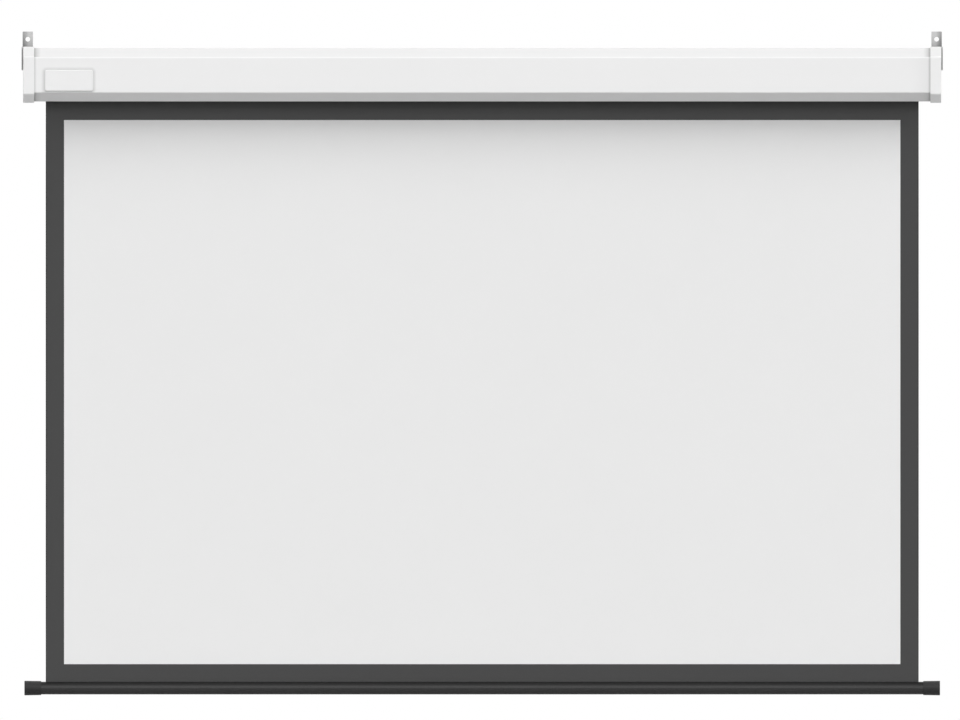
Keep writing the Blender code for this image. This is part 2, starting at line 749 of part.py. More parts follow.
def wall_bracket(side):
    """A folded steel bracket: the part that all three of its outlines share."""
    label = side_name(side) + "_wall_bracket"
    beyond = BRACKET_THICKNESS + BEYOND
    inner_x = EAR_OUTER_X - EAR_WIDTH
    outer_bend = BRACKET_BEND_RADIUS + BRACKET_THICKNESS
    front = WALL_Y - BRACKET_DEPTH
    bend_centre = (BRACKET_OUTER_X - outer_bend, WALL_Y - outer_bend)
    fold = [(inner_x - beyond, WALL_Y)]
    fold += reversed(arc(bend_centre, outer_bend, 0, math.pi / 2, 5))
    fold += [(BRACKET_OUTER_X, front - beyond), (BRACKET_INNER_X, front - beyond)]
    fold += arc(bend_centre, BRACKET_BEND_RADIUS, 0, math.pi / 2, 4)
    fold += [(inner_x - beyond, BRACKET_FRONT_FACE_Y)]
    fold = [(side * x, y) for x, y in fold]
    middle = Vector((0, 0, (BRACKET_BOTTOM + EAR_TOP) / 2))
    height = EAR_TOP - BRACKET_BOTTOM + 2 * beyond
    bracket = outline_solid(label, [fold], height, ALONG_Z, middle, grey_steel())
    from_front = [
        (inner_x, BRACKET_BOTTOM - beyond),
        (BRACKET_OUTER_X + beyond, BRACKET_BOTTOM - beyond),
        (BRACKET_OUTER_X + beyond, CAP_TOP),
        (EAR_OUTER_X, CAP_TOP),
    ]
    radius = EAR_CORNER_RADIUS
    from_front += arc((EAR_OUTER_X - radius, EAR_TOP - radius), radius, 0, math.pi / 2, 3)
    from_front += arc((inner_x + radius, EAR_TOP - radius), radius, math.pi / 2, math.pi, 3)
    hole = circle((EAR_CENTRE_X, CAP_TOP + EAR_HOLE_ABOVE_CAP), EAR_HOLE_RADIUS)
    loops = [[(side * x, z) for x, z in loop] for loop in (from_front, hole)]
    reach = 2 * (BRACKET_DEPTH + WALL_Y)
    common(bracket, outline_solid(label + "_front", loops, reach, ALONG_Y, Vector((0, 0, 0))))
    radius = BRACKET_CORNER_RADIUS
    step = BRACKET_FRONT_FACE_Y - BEYOND
    from_side = [(WALL_Y + beyond, EAR_TOP + beyond), (step, EAR_TOP + beyond), (step, CAP_TOP)]
    from_side += arc((front + radius, CAP_TOP - radius), radius, math.pi / 2, math.pi, 5)
    from_side += arc((front + radius, BRACKET_BOTTOM + radius), radius, math.pi, 1.5 * math.pi, 5)
    from_side += [(WALL_Y + beyond, BRACKET_BOTTOM)]
    start, end = side * (inner_x - 2 * beyond), side * (BRACKET_OUTER_X + beyond)
    common(bracket, cross_section(label + "_side", [from_side], start, end))
    for i, (y, z) in enumerate(bracket_screw_places()):
        profile = screw_profile(BRACKET_SCREW, GAP, BEYOND)
        centre = Vector((side * BRACKET_OUTER_X, y, z))
        cut(bracket, turned_x(f"{label}_seat_{i}", profile, centre, side, SMALL_SIDES))
        name = f"{side_name(side)}_bracket_screw_{i + 1}"
        screw_along_x(name, BRACKET_SCREW, BRACKET_OUTER_X - HEAD_SET_IN, y, z, side)


def channel_tube_outlines(radius, wall, channel):
    """A round tube with a keyhole channel let into its wall at the top."""
    bore = radius - wall
    mouth_outer = math.asin(CHANNEL_MOUTH_HALF / radius)
    mouth_inner = math.asin(CHANNEL_MOUTH_HALF / CHANNEL_RADIUS)
    top = math.pi / 2
    outside = arc((0, 0), radius, top + mouth_outer, top + math.tau - mouth_outer, TUBE_SIDES)
    keyhole_end = top + mouth_inner - math.tau
    outside += arc((0, channel), CHANNEL_RADIUS, top - mouth_inner, keyhole_end, SMALL_SIDES)
    height = (bore**2 - CHANNEL_OUTER_RADIUS**2 + channel**2) / (2 * channel)
    from_bore = math.asin(height / bore)
    from_channel = math.asin((height - channel) / CHANNEL_OUTER_RADIUS)
    inside = arc((0, 0), bore, math.pi - from_bore, math.tau + from_bore, ROUND_SIDES)
    bump_end = -math.pi - from_channel
    bump = arc((0, channel), CHANNEL_OUTER_RADIUS, from_channel, bump_end, SMALL_SIDES)
    return [outside, inside + bump[1:-1]]


def channel_notch(name, x_start, x_end):
    """Room for the roller's channel in a plug that fits its bore."""
    reach = CHANNEL_OUTER_RADIUS + GAP
    outline = rectangle(2 * reach, 4 * reach, (0, CHANNEL_IN_ROLLER + reach))
    notch = rounded(outline, reach * NOTCH_ROUNDNESS)
    return cross_section(name, [notch], x_start, x_end, (AXIS_Y, 0))


def roller_tube():
    outlines = channel_tube_outlines(ROLLER_RADIUS, ROLLER_WALL, CHANNEL_IN_ROLLER)
    cross_section("roller_tube", outlines, -ROLLER_HALF, ROLLER_HALF, (AXIS_Y, 0), aluminium())


def fabric_on_roller():
    """The fabric's edge bead in its channel, and the safety turns left on the roller."""
    place = (AXIS_Y, CHANNEL_IN_ROLLER)
    bead = [circle((0, 0), BEAD_RADIUS, SMALL_SIDES)]
    cross_section("roller_fabric_bead", bead, -FABRIC_HALF, FABRIC_HALF, place, nylon())
    inner = ROLLER_RADIUS + GAP
    rings = [circle((0, 0), radius, TUBE_SIDES) for radius in (inner + ROLL_THICKNESS, inner)]
    cross_section("fabric_roll", rings, -FABRIC_HALF, FABRIC_HALF, (AXIS_Y, 0), black_fabric())


def motor_head():
    """The motor's fixed head: a collar, a square spigot for the plate and a plug in the tube."""
    shoulder = HEAD_END_X - COLLAR_END_X
    profile = [
        (0, 0),
        (HEAD_RADIUS - HEAD_EDGE, 0),
        (HEAD_RADIUS, -HEAD_EDGE),
        (HEAD_RADIUS, shoulder + HEAD_LEDGE),
        (MOTOR_RADIUS + HEAD_STEP, shoulder + HEAD_LEDGE),
        (MOTOR_RADIUS + HEAD_STEP, shoulder),
        (INSIDE_RADIUS, shoulder),
        (INSIDE_RADIUS, shoulder - HEAD_PLUG_LENGTH),
        (0, shoulder - HEAD_PLUG_LENGTH),
    ]
    start = Vector((HEAD_END_X, AXIS_Y, 0))
    head = turned_x("motor_head", profile, start, -1, ROUND_SIDES, black_plastic())
    square = rounded(rectangle(SPIGOT_SIDE, SPIGOT_SIDE), SPIGOT_CORNER_RADIUS)
    tip = -(GROOVE_END_X + SPIGOT_TIP)
    fuse(head, cross_section("spigot", [square], tip, HEAD_END_X + FUSED_DEPTH, (AXIS_Y, 0)))
    groove = [circle((0, 0), SPIGOT_SIDE), circle((0, 0), SPIGOT_NECK_RADIUS)]
    cut(head, cross_section("spigot_groove", groove, -GROOVE_END_X, -PLATE_OUTER_X, (AXIS_Y, 0)))
    radius = LIMIT_SCREW_RADIUS + RUNNING_GAP
    depth = LIMIT_SCREW_LENGTH + LIMIT_SCREW_SUNK + GAP
    hole = disc_profile(radius, -depth, BEYOND)
    for name, x in limit_screw_places():
        cut(head, turned(name + "_bore", hole, limit_axes(), limit_mouth(x), SMALL_SIDES))


def limit_axes():
    """Stands a piece's Z on the adjusting screws' line, down and back through the slot."""
    return Matrix.Rotation(math.pi + LIMIT_SCREW_TILT, 4, "X")


def limit_mouth(x):
    """Where an adjusting screw's axis leaves the head's collar."""
    down = limit_axes().to_3x3() @ Vector((0, 0, 1))
    return Vector((x, AXIS_Y, 0)) + down * HEAD_RADIUS


def limit_screw_places():
    middle = (HEAD_END_X + COLLAR_END_X - HEAD_LEDGE) / 2
    return [
        ("upper_limit_screw", middle - LIMIT_SCREW_PITCH / 2),
        ("lower_limit_screw", middle + LIMIT_SCREW_PITCH / 2),
    ]


def limit_screws():
    for name, x in limit_screw_places():
        down = limit_axes().to_3x3() @ Vector((0, 0, 1))
        top = limit_mouth(x) - down * LIMIT_SCREW_SUNK
        profile = [
            (0, 0),
            (LIMIT_SCREW_RADIUS - LIMIT_SCREW_EDGE, 0),
            (LIMIT_SCREW_RADIUS, -LIMIT_SCREW_EDGE),
            (LIMIT_SCREW_RADIUS, -LIMIT_SCREW_LENGTH),
            (0, -LIMIT_SCREW_LENGTH),
        ]
        made = turned(name, profile, limit_axes(), top, SMALL_SIDES, nylon())
        key, depth = LIMIT_SOCKET_RADIUS, LIMIT_SOCKET_DEPTH
        cut(made, socket_cutter(name + "_socket", key, depth, limit_axes(), top))


def motor_clip():
    """The spring clip that holds the square spigot behind the end plate."""
    neck = SPIGOT_NECK_RADIUS + GAP
    start = -CLIP_OPENING_ANGLE
    outline = arc((0, 0), CLIP_RADIUS, start, math.pi - start, ROUND_SIDES)
    outline += [(-neck, -CLIP_LEG), (-neck, 0)]
    outline += list(reversed(arc((0, 0), neck, 0, math.pi, SMALL_SIDES)))[1:-1]
    outline += [(neck, 0), (neck, -CLIP_LEG)]
    inner = PLATE_OUTER_X + GAP
    outer = inner + CLIP_THICKNESS
    cross_section("motor_clip", [outline], -inner, -outer, (AXIS_Y, 0), zinc())


def motor_body():
    """The motor's tube and what it holds, in order from the head."""
    tube = [circle((0, 0), MOTOR_RADIUS), circle((0, 0), MOTOR_BORE_RADIUS)]
    cross_section("motor_tube", tube, MOTOR_START_X, MOTOR_END_X, (AXIS_Y, 0), zinc())
    x = MOTOR_START_X + HEAD_PLUG_LENGTH + PART_SPACING
    block = [circle((0, 0), INSIDE_RADIUS)]
    cross_section("limit_switch", block, x, x + SWITCH_LENGTH, (AXIS_Y, 0), black_plastic())
    x += SWITCH_LENGTH + PART_SPACING
    profile = [
        (0, CAPACITOR_LENGTH),
        (CAPACITOR_RADIUS - CAPACITOR_EDGE, CAPACITOR_LENGTH),
        (CAPACITOR_RADIUS, CAPACITOR_LENGTH - CAPACITOR_EDGE),
        (CAPACITOR_RADIUS, 0),
        (0, 0),
    ]
    start = Vector((x, AXIS_Y, 0))
    turned_x("run_capacitor", profile, start, 1, ROUND_SIDES, white_plastic())


def rotor_start_x():
    """Where the brake begins, after the limit switch and the capacitor."""
    room = HEAD_PLUG_LENGTH + SWITCH_LENGTH + CAPACITOR_LENGTH + 4 * PART_SPACING
    return MOTOR_START_X + room


def ring_start_x():
    """Where the gear stage begins, counted back from the motor's output end."""
    room = OUTPUT_BUSH_SET_IN + OUTPUT_BUSH_LENGTH + PART_SPACING
    return MOTOR_END_X - room - RING_LENGTH


def brake_and_windings():
    """The brake, the stator and the rotor that turns inside them."""
    shaft_room = ROTOR_SHAFT_RADIUS + ROTOR_SHAFT_ROOM
    x = rotor_start_x()
    ring = [circle((0, 0), INSIDE_RADIUS), circle((0, 0), shaft_room)]
    cross_section("motor_brake", ring, x, x + BRAKE_LENGTH, (AXIS_Y, 0), black_plastic())
    x += BRAKE_LENGTH + PART_SPACING
    ring = [circle((0, 0), INSIDE_RADIUS), circle((0, 0), STATOR_BORE_RADIUS)]
    cross_section("motor_stator", ring, x, x + STATOR_LENGTH, (AXIS_Y, 0), copper_stack())
    core = STATOR_BORE_RADIUS - ROTOR_AIR_GAP
    core_end = STATOR_LENGTH - ROTOR_CORE_SET_IN
    start = rotor_start_x() + ROTOR_TAIL_SET_IN - x
    end = ring_start_x() + RING_LENGTH / 2 + PLANET_LENGTH / 2 - x
    profile = [
        (0, end),
        (ROTOR_SHAFT_RADIUS, end),
        (ROTOR_SHAFT_RADIUS, core_end),
        (core, core_end),
        (core, ROTOR_CORE_SET_IN),
        (ROTOR_SHAFT_RADIUS, ROTOR_CORE_SET_IN),
        (ROTOR_SHAFT_RADIUS, start),
        (0, start),
    ]
    turned_x("rotor", profile, Vector((x, AXIS_Y, 0)), 1, ROUND_SIDES, gear_steel())


def involute(angle):
    return math.tan(angle) - angle


def tooth_half_angle(radius, teeth, internal=False):
    """Half of a tooth's angle at a radius, thinned by the backlash; a ring's teeth point in."""
    pitch = GEAR_MODULE * teeth / 2
    base = pitch * math.cos(PRESSURE_ANGLE)
    at = math.acos(min(1.0, base / max(radius, base)))
    change = involute(PRESSURE_ANGLE) - involute(at)
    half = math.pi / (2 * teeth) - BACKLASH / (4 * pitch)
    return half - change if internal else half + change


def gear_outline(teeth, phase, internal=False):
    """An involute gear; the phase turns the middle of a tooth away from straight up."""
    pitch = GEAR_MODULE * teeth / 2
    reach = -1 if internal else 1
    tip = pitch + reach * ADDENDUM * GEAR_MODULE
    root = pitch - reach * DEDENDUM * GEAR_MODULE
    radii = [root, pitch, tip]
    points = []
    for i in range(teeth):
        middle = math.pi / 2 + phase + math.tau * i / teeth
        left = [(r, middle - tooth_half_angle(r, teeth, internal)) for r in radii]
        right = [(r, middle + tooth_half_angle(r, teeth, internal)) for r in reversed(radii)]
        points += [(r * math.cos(a), r * math.sin(a)) for r, a in left + right]
    return points


def planet_places():
    """(angle, Y, Z) of each planet round the sun, the first straight up."""
    places = []
    for i in range(PLANETS):
        angle = math.tau * i / PLANETS
        y = AXIS_Y - PLANET_ORBIT * math.sin(angle)
        places.append((angle, y, PLANET_ORBIT * math.cos(angle)))
    return places


def gear_stage():
    """The fixed ring gear, the sun on the rotor, three planets and their carrier."""
    start = ring_start_x()
    end = start + RING_LENGTH
    half_pitch = math.pi / RING_TEETH
    outlines = [circle((0, 0), INSIDE_RADIUS, TUBE_SIDES), gear_outline(RING_TEETH, half_pitch, True)]
    cross_section("ring_gear", outlines, start, end, (AXIS_Y, 0), gear_steel())
    middle = (start + end) / 2
    gear_start = middle - PLANET_LENGTH / 2
    gear_end = middle + PLANET_LENGTH / 2
    bore = circle((0, 0), ROTOR_SHAFT_RADIUS + GAP, SMALL_SIDES)
    outlines = [gear_outline(SUN_TEETH, math.pi / SUN_TEETH), bore]
    cross_section("sun_gear", outlines, gear_start, gear_end, (AXIS_Y, 0), gear_steel())
    for i, (angle, y, z) in enumerate(planet_places()):
        bore = circle((0, 0), PLANET_PIN_RADIUS + RUNNING_GAP, SMALL_SIDES)
        outlines = [gear_outline(PLANET_TEETH, angle), bore]
        cross_section(f"planet_gear_{i + 1}", outlines, gear_start, gear_end, (y, z), gear_steel())


def planet_carrier():
    """The carrier disc with its planet pins and the output shaft, which has a flat."""
    ring_end = ring_start_x() + RING_LENGTH
    gear_end = ring_start_x() + RING_LENGTH / 2 + PLANET_LENGTH / 2
    disc_start = gear_end + 2 * RUNNING_GAP
    pin_start = gear_end - PLANET_LENGTH
    disc_radius = GEAR_MODULE * (RING_TEETH / 2 - ADDENDUM) - 2 * RUNNING_GAP
    bush_end = ring_end + PART_SPACING + OUTPUT_BUSH_LENGTH
    tip = WHEEL_END_X + SHAFT_BEYOND_WHEEL
    profile = [
        (0, tip),
        (SHAFT_RADIUS - SHAFT_EDGE, tip),
        (SHAFT_RADIUS, tip - SHAFT_EDGE),
        (SHAFT_RADIUS, disc_start + CARRIER_THICKNESS),
        (disc_radius, disc_start + CARRIER_THICKNESS),
        (disc_radius, disc_start),
        (0, disc_start),
    ]
    profile = [(r, x - disc_start) for r, x in profile]
    place = Vector((disc_start, AXIS_Y, 0))
    carrier = turned_x("planet_carrier", profile, place, 1, ROUND_SIDES, gear_steel())
    for i, (angle, y, z) in enumerate(planet_places()):
        pin = [circle((0, 0), PLANET_PIN_RADIUS, SMALL_SIDES)]
        into_disc = disc_start + CARRIER_THICKNESS / 2
        fuse(carrier, cross_section(f"planet_pin_{i + 1}", pin, pin_start, into_disc, (y, z)))
    flat = rectangle(4 * SHAFT_RADIUS, 2 * SHAFT_RADIUS, (0, 2 * SHAFT_RADIUS - SHAFT_FLAT))
    flat_start = WHEEL_START_X - GAP
    cut(carrier, cross_section("shaft_flat", [flat], flat_start, tip + BEYOND, (AXIS_Y, 0)))
    bush = [circle((0, 0), INSIDE_RADIUS), circle((0, 0), SHAFT_RADIUS + RUNNING_GAP)]
    start = ring_end + PART_SPACING
    cross_section("output_bush", bush, start, bush_end, (AXIS_Y, 0), nylon())


def roller_drive():
    """The crown that counts turns at the head and the wheel that drives the roller."""
    fit = ROLLER_BORE_RADIUS - GAP
    start = -ROLLER_HALF + CROWN_SET_IN
    rings = [circle((0, 0), radius, TUBE_SIDES) for radius in (fit, MOTOR_RADIUS + RUNNING_GAP)]
    crown = cross_section("limit_crown", rings, start, start + CROWN_LENGTH, (AXIS_Y, 0), nylon())
    cut(crown, channel_notch("crown_notch", start - BEYOND, start + CROWN_LENGTH + BEYOND))
    start = WHEEL_START_X
    end = WHEEL_END_X
    bore = SHAFT_RADIUS + GAP
    flat = math.acos((SHAFT_RADIUS - SHAFT_FLAT + GAP) / bore)
    top = math.pi / 2
    holes = [arc((0, 0), bore, top + flat, top + math.tau - flat, ROUND_SIDES)]
    hole_orbit = (SHAFT_RADIUS + fit) / 2
    half_step = math.pi / WHEEL_HOLES
    for centre in circle((0, 0), hole_orbit, WHEEL_HOLES):
        turned_centre = Matrix.Rotation(top + half_step, 2) @ Vector(centre)
        holes.append(circle(turned_centre, WHEEL_HOLE_RADIUS, SMALL_SIDES))
    outlines = [circle((0, 0), fit, TUBE_SIDES)] + holes
    wheel = cross_section("drive_wheel", outlines, start, end, (AXIS_Y, 0), nylon())
    cut(wheel, channel_notch("wheel_notch", start - BEYOND, end + BEYOND))


def idler_end():
    """The plug in the roller's free end, its pin, and the bush that the pin turns in."""
    fit = ROLLER_BORE_RADIUS - GAP
    bore = IDLER_PIN_RADIUS + GAP
    start = ROLLER_HALF - IDLER_PLUG_LENGTH
    flange_start = ROLLER_HALF + GAP
    profile = [
        (ROLLER_RADIUS, flange_start + IDLER_FLANGE),
        (ROLLER_RADIUS, flange_start),
        (fit, flange_start),
        (fit, start),
        (bore, start),
        (bore, flange_start + IDLER_FLANGE),
    ]
    profile = [(r, x - start) for r, x in profile]
    place = Vector((start, AXIS_Y, 0))
    plug = turned_x("idler_plug", profile, place, 1, ROUND_SIDES, black_plastic())
    cut(plug, channel_notch("idler_notch", start - BEYOND, ROLLER_HALF + GAP / 2))
    pin_start = ROLLER_HALF - IDLER_PIN_IN_PLUG
    pin_end = PLATE_OUTER_X + IDLER_PIN_BEYOND_PLATE
    collar = flange_start + IDLER_FLANGE + GAP
    collar_end = collar + IDLER_COLLAR_LENGTH
    collar_radius = IDLER_PIN_RADIUS + IDLER_COLLAR_STEP
    profile = [
        (0, pin_end),
        (IDLER_PIN_RADIUS - IDLER_PIN_EDGE, pin_end),
        (IDLER_PIN_RADIUS, pin_end - IDLER_PIN_EDGE),
        (IDLER_PIN_RADIUS, collar_end),
        (collar_radius, collar_end),
        (collar_radius, collar),
        (IDLER_PIN_RADIUS, collar),
        (IDLER_PIN_RADIUS, pin_start),
        (0, pin_start),
    ]
    profile = [(r, x - pin_start) for r, x in profile]
    turned_x("idler_pin", profile, Vector((pin_start, AXIS_Y, 0)), 1, ROUND_SIDES, zinc())
    inner = IDLER_PIN_RADIUS + RUNNING_GAP
    flange = BUSH_RADIUS + BUSH_FLANGE
    flange_end = CASE_END_X
    flange_start = flange_end - BUSH_FLANGE_THICKNESS
    profile = [
        (BUSH_RADIUS, PLATE_OUTER_X),
        (BUSH_RADIUS, flange_end),
        (flange, flange_end),
        (flange, flange_start),
        (inner, flange_start),
        (inner, PLATE_OUTER_X),
    ]
    profile = [(r, x - flange_start) for r, x in profile]
    turned_x("idler_bush", profile, Vector((flange_start, AXIS_Y, 0)), 1, ROUND_SIDES, nylon())


def hanging_fabric():
    """The viewing surface, the border on three sides of it and the hem under it."""
    at = Vector((0, FABRIC_Y, 0))
    half = VIEW_WIDTH / 2
    surface = [(-half, VIEW_BOTTOM), (half, VIEW_BOTTOM), (half, VIEW_TOP), (-half, VIEW_TOP)]
    outline_solid("viewing_surface", [surface], FABRIC_THICKNESS, ALONG_Y, at, white_fabric())
    inner = half + FABRIC_JOINT
    under = VIEW_TOP + FABRIC_JOINT
    border = [
        (-FABRIC_HALF, VIEW_BOTTOM),
        (-inner, VIEW_BOTTOM),
        (-inner, under),
        (inner, under),
        (inner, VIEW_BOTTOM),
        (FABRIC_HALF, VIEW_BOTTOM),
        (FABRIC_HALF, 0),
        (-FABRIC_HALF, 0),
    ]
    outline_solid("mask_border", [border], FABRIC_THICKNESS, ALONG_Y, at, black_fabric())
    hem_top = VIEW_BOTTOM - FABRIC_JOINT
    hem_bottom = BAR_Z + CHANNEL_IN_BAR + BEAD_RADIUS + GAP
    hem = [
        (-FABRIC_HALF, hem_bottom),
        (FABRIC_HALF, hem_bottom),
        (FABRIC_HALF, hem_top),
        (-FABRIC_HALF, hem_top),
    ]
    outline_solid("mask_hem", [hem], FABRIC_THICKNESS, ALONG_Y, at, black_fabric())


def bottom_bar():
    """The weight tube with the hem's bead in its channel, and its two flared caps."""
    place = (FABRIC_Y, BAR_Z)
    outlines = channel_tube_outlines(BAR_RADIUS, BAR_WALL, CHANNEL_IN_BAR)
    cross_section("bottom_tube", outlines, -TUBE_HALF, TUBE_HALF, place, black_paint())
    bead = [circle((0, 0), BEAD_RADIUS, SMALL_SIDES)]
    bead_place = (FABRIC_Y, BAR_Z + CHANNEL_IN_BAR)
    cross_section("hem_bead", bead, -FABRIC_HALF, FABRIC_HALF, bead_place, nylon())
    for side in (-1, 1):
        radius = BAR_CAP_EDGE_RADIUS
        centre = (BAR_CAP_OUTER_RADIUS - radius, BAR_CAP_LENGTH - radius)
        bore = BAR_RADIUS + GAP
        profile = [(0, BAR_CAP_LENGTH)]
        profile += list(reversed(arc(centre, radius, 0, math.pi / 2, CORNER_STEPS)))
        profile += [
            (BAR_CAP_INNER_RADIUS, BAR_CAP_MOUTH_EDGE),
            (BAR_CAP_INNER_RADIUS - BAR_CAP_MOUTH_EDGE, 0),
            (bore, 0),
            (bore, BAR_CAP_LENGTH - BAR_CAP_END_WALL),
            (0, BAR_CAP_LENGTH - BAR_CAP_END_WALL),
        ]
        place = Vector((side * (BAR_CAP_X - BAR_CAP_LENGTH), FABRIC_Y, BAR_Z))
        turned_x(side_name(side) + "_bar_cap", profile, place, side, ROUND_SIDES, black_plastic())


def on_axis(name, place, pieces):
    """Hangs moving pieces on an empty that marks their joint."""
    empty = bpy.data.objects.new(name, None)
    empty.empty_display_size = 0.05
    empty.location = place
    parts.objects.link(empty)
    bpy.context.view_layer.update()
    for piece in pieces:
        made = bpy.data.objects[piece]
        made.parent = empty
        made.matrix_parent_inverse = empty.matrix_world.inverted()


def joints():
    """One empty on each joint's axis, with the pieces that move about it."""
    roller = ["roller_tube", "roller_fabric_bead", "fabric_roll", "limit_crown", "drive_wheel"]
    roller += ["planet_carrier", "idler_plug", "idler_pin"]
    on_axis("roller_axis", AXIS, roller)
    on_axis("rotor_axis", AXIS, ["rotor", "sun_gear"])
    for i, (angle, y, z) in enumerate(planet_places()):
        on_axis(f"planet_{i + 1}_axis", Vector((ring_start_x(), y, z)), [f"planet_gear_{i + 1}"])
    bar = ["mask_hem", "bottom_tube", "hem_bead", "left_bar_cap", "right_bar_cap"]
    on_axis("bottom_bar_slide", Vector((0, FABRIC_Y, BAR_Z)), bar)
    for name, x in limit_screw_places():
        on_axis(name + "_axis", limit_mouth(x), [name])


def settle():
    """Applies the modifiers and shades round faces smooth between their true edges."""
    bpy.context.view_layer.update()
    graph = bpy.context.evaluated_depsgraph_get()
    made = [obj for obj in parts.objects if obj.type == "MESH"]
    finished = {obj: bpy.data.meshes.new_from_object(obj.evaluated_get(graph)) for obj in made}
    for obj, mesh in finished.items():
        finish = obj.data.materials[0]
        obj.modifiers.clear()
        obj.data = mesh
        mesh.name = obj.name
        mesh.materials.clear()
        mesh.materials.append(finish)
        for face in mesh.polygons:
            face.material_index = 0
        mesh.shade_smooth()
        mesh.set_sharp_from_angle(angle=SMOOTH_ANGLE)


def main():
    clear_scene()
    casing()
    for side in (-1, 1):
        end_plate(side)
        end_cap(side)
        end_screws(side)
        wall_bracket(side)
    cable_grommet()
    motor_head()
    limit_screws()
    motor_clip()
    motor_body()
    brake_and_windings()
    gear_stage()
    planet_carrier()
    roller_tube()
    fabric_on_roller()
    roller_drive()
    idler_end()
    hanging_fabric()
    bottom_bar()
    joints()
    settle()


main()
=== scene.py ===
"""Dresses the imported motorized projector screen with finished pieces, materials and a studio."""

import json
from math import asin, ceil, cos, pi, radians, sin, sqrt, tan, tau

import bmesh
import bpy
from bmesh.types import BMEdge, BMVert
from bpy.types import Operator, Panel, PropertyGroup
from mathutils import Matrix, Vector


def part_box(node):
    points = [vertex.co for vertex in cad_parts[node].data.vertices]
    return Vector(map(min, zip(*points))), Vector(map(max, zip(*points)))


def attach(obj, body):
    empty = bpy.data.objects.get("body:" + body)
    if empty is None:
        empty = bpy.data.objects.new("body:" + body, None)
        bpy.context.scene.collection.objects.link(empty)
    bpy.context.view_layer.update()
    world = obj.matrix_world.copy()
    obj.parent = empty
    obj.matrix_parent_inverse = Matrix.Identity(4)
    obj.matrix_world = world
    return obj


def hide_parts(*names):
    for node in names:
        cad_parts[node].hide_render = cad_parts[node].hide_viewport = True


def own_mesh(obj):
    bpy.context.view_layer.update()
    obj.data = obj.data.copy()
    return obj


bl_info = {
    "name": "Motorized Projector Screen",
    "version": (1, 0, 0),
    "blender": (4, 5, 0),
    "location": "3D View > Sidebar > Screen",
    "description": "Builds a wall-mounted projector screen and its studio",
    "category": "Object",
}

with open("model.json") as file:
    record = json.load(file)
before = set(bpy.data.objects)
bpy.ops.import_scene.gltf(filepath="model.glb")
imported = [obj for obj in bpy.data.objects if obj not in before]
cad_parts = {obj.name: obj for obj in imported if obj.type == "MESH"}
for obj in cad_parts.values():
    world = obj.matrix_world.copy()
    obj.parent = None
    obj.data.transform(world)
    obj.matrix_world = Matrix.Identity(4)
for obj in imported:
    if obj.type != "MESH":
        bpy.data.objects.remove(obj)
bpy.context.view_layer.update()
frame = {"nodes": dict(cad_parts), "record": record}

MM = 0.001
NEAR = 0.01 * MM  # two places closer than this are the same
WELD = 0.002 * MM  # points closer than this are merged
FACING = 0.9  # least part of a normal along an axis of a face that looks that way
SQUARE = 0.999  # the same where a face or an edge is exactly square
SMOOTH_ANGLE = radians(32)
SIDES = (("left", -1), ("right", 1))

CASING_LOW, CASING_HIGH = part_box("casing")
CAP_LOW, CAP_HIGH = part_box("right_end_cap")
BRACKET_LOW, BRACKET_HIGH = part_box("right_wall_bracket")
GROMMET_LOW, GROMMET_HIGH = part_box("cable_grommet")
VIEW_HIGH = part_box("viewing_surface")[1]
BORDER_LOW, BORDER_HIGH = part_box("mask_border")
HEM_LOW, HEM_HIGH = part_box("mask_hem")
ROLL_LOW, ROLL_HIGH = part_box("fabric_roll")
BAR_LOW, BAR_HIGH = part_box("bottom_tube")
BAR_CAP_LOW, BAR_CAP_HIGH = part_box("right_bar_cap")
END_SCREWS = [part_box(f"right_end_screw_{i}") for i in (1, 2, 3, 4)]
BRACKET_SCREWS = [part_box(f"right_bracket_screw_{i}") for i in (1, 2)]

# Countersunk seats: radius at the head, radius of the shank, depth of the cone, length behind.
END_SEAT = (3.8 * MM, 1.9 * MM, 2.2 * MM, 14 * MM)
BRACKET_SEAT = (4.7 * MM, 2.3 * MM, 2.4 * MM, 4 * MM)
INLET_ROOM, INLET_SEAT = 0.3 * MM, 1.3 * MM  # round and behind the flange of the cable's sleeve
INLET_BORE, INLET_DEPTH = 5.4 * MM, 6 * MM
LIP_EDGE = 0.6 * MM  # slot's outer edges
PORT_MOUTH = radians(28)  # half the open angle of a screw port
CAP_RIM = 0.5 * MM  # an end cap's rim at the casing
CHAMFER_REACH = 21 * MM  # from a cap's front corner over its chamfer
SHEARED = 0.25 * MM  # blunted edges of the brackets
BEYOND = 5 * MM  # raw sheet past the bracket that is cut out of it
BADGE_RIM, BADGE_SUNK = 2.2 * MM, 0.25 * MM  # width of the rim, depth of the field inside it
TURNS = 1.25  # safety turns of fabric on the roller
BAR_CAP_ROOM, BAR_CAP_RIM = 0.3 * MM, 0.4 * MM  # room round the bar, radius of the cap's rim
CAMERA_AWAY = 6.0
FLOOR_REACH = 80

# Sizes of the patterns in materials. One called coarse is too fine to show on the real thing,
# and is drawn as coarse as it needs to show.
PAINT_CLOUD = 180 * MM  # slow shifts of a painted colour
CLOTH_CLOUD = 90 * MM  # slow shifts of the coated fabric
MOULD_CLOUD = 60 * MM  # slow shifts of a moulded colour
PEEL = 1.6 * MM  # orange peel of powder coat
PEBBLE = 0.9 * MM  # grain of a spark-eroded mould, coarse
SPANGLE = 3.5 * MM  # zinc crystals
DRAW_LINE = 1.2 * MM  # lines of drawn or turned metal, coarse
COIL = 14 * MM  # bundles of windings
LAMINATION = 2.5 * MM  # sheets of the motor's stack, really 0.5 mm: coarse
THREAD = 1.0 * MM  # threads of the fabric, coarse
WAVE = pi / 10  # metres per wave of a wave texture at scale 1


def linear(code):
    """Linear RGBA of an sRGB hex colour."""
    levels = [int(code[i : i + 2], 16) / 255 for i in (1, 3, 5)]
    return (*(v / 12.92 if v <= 0.04045 else ((v + 0.055) / 1.055) ** 2.4 for v in levels), 1.0)


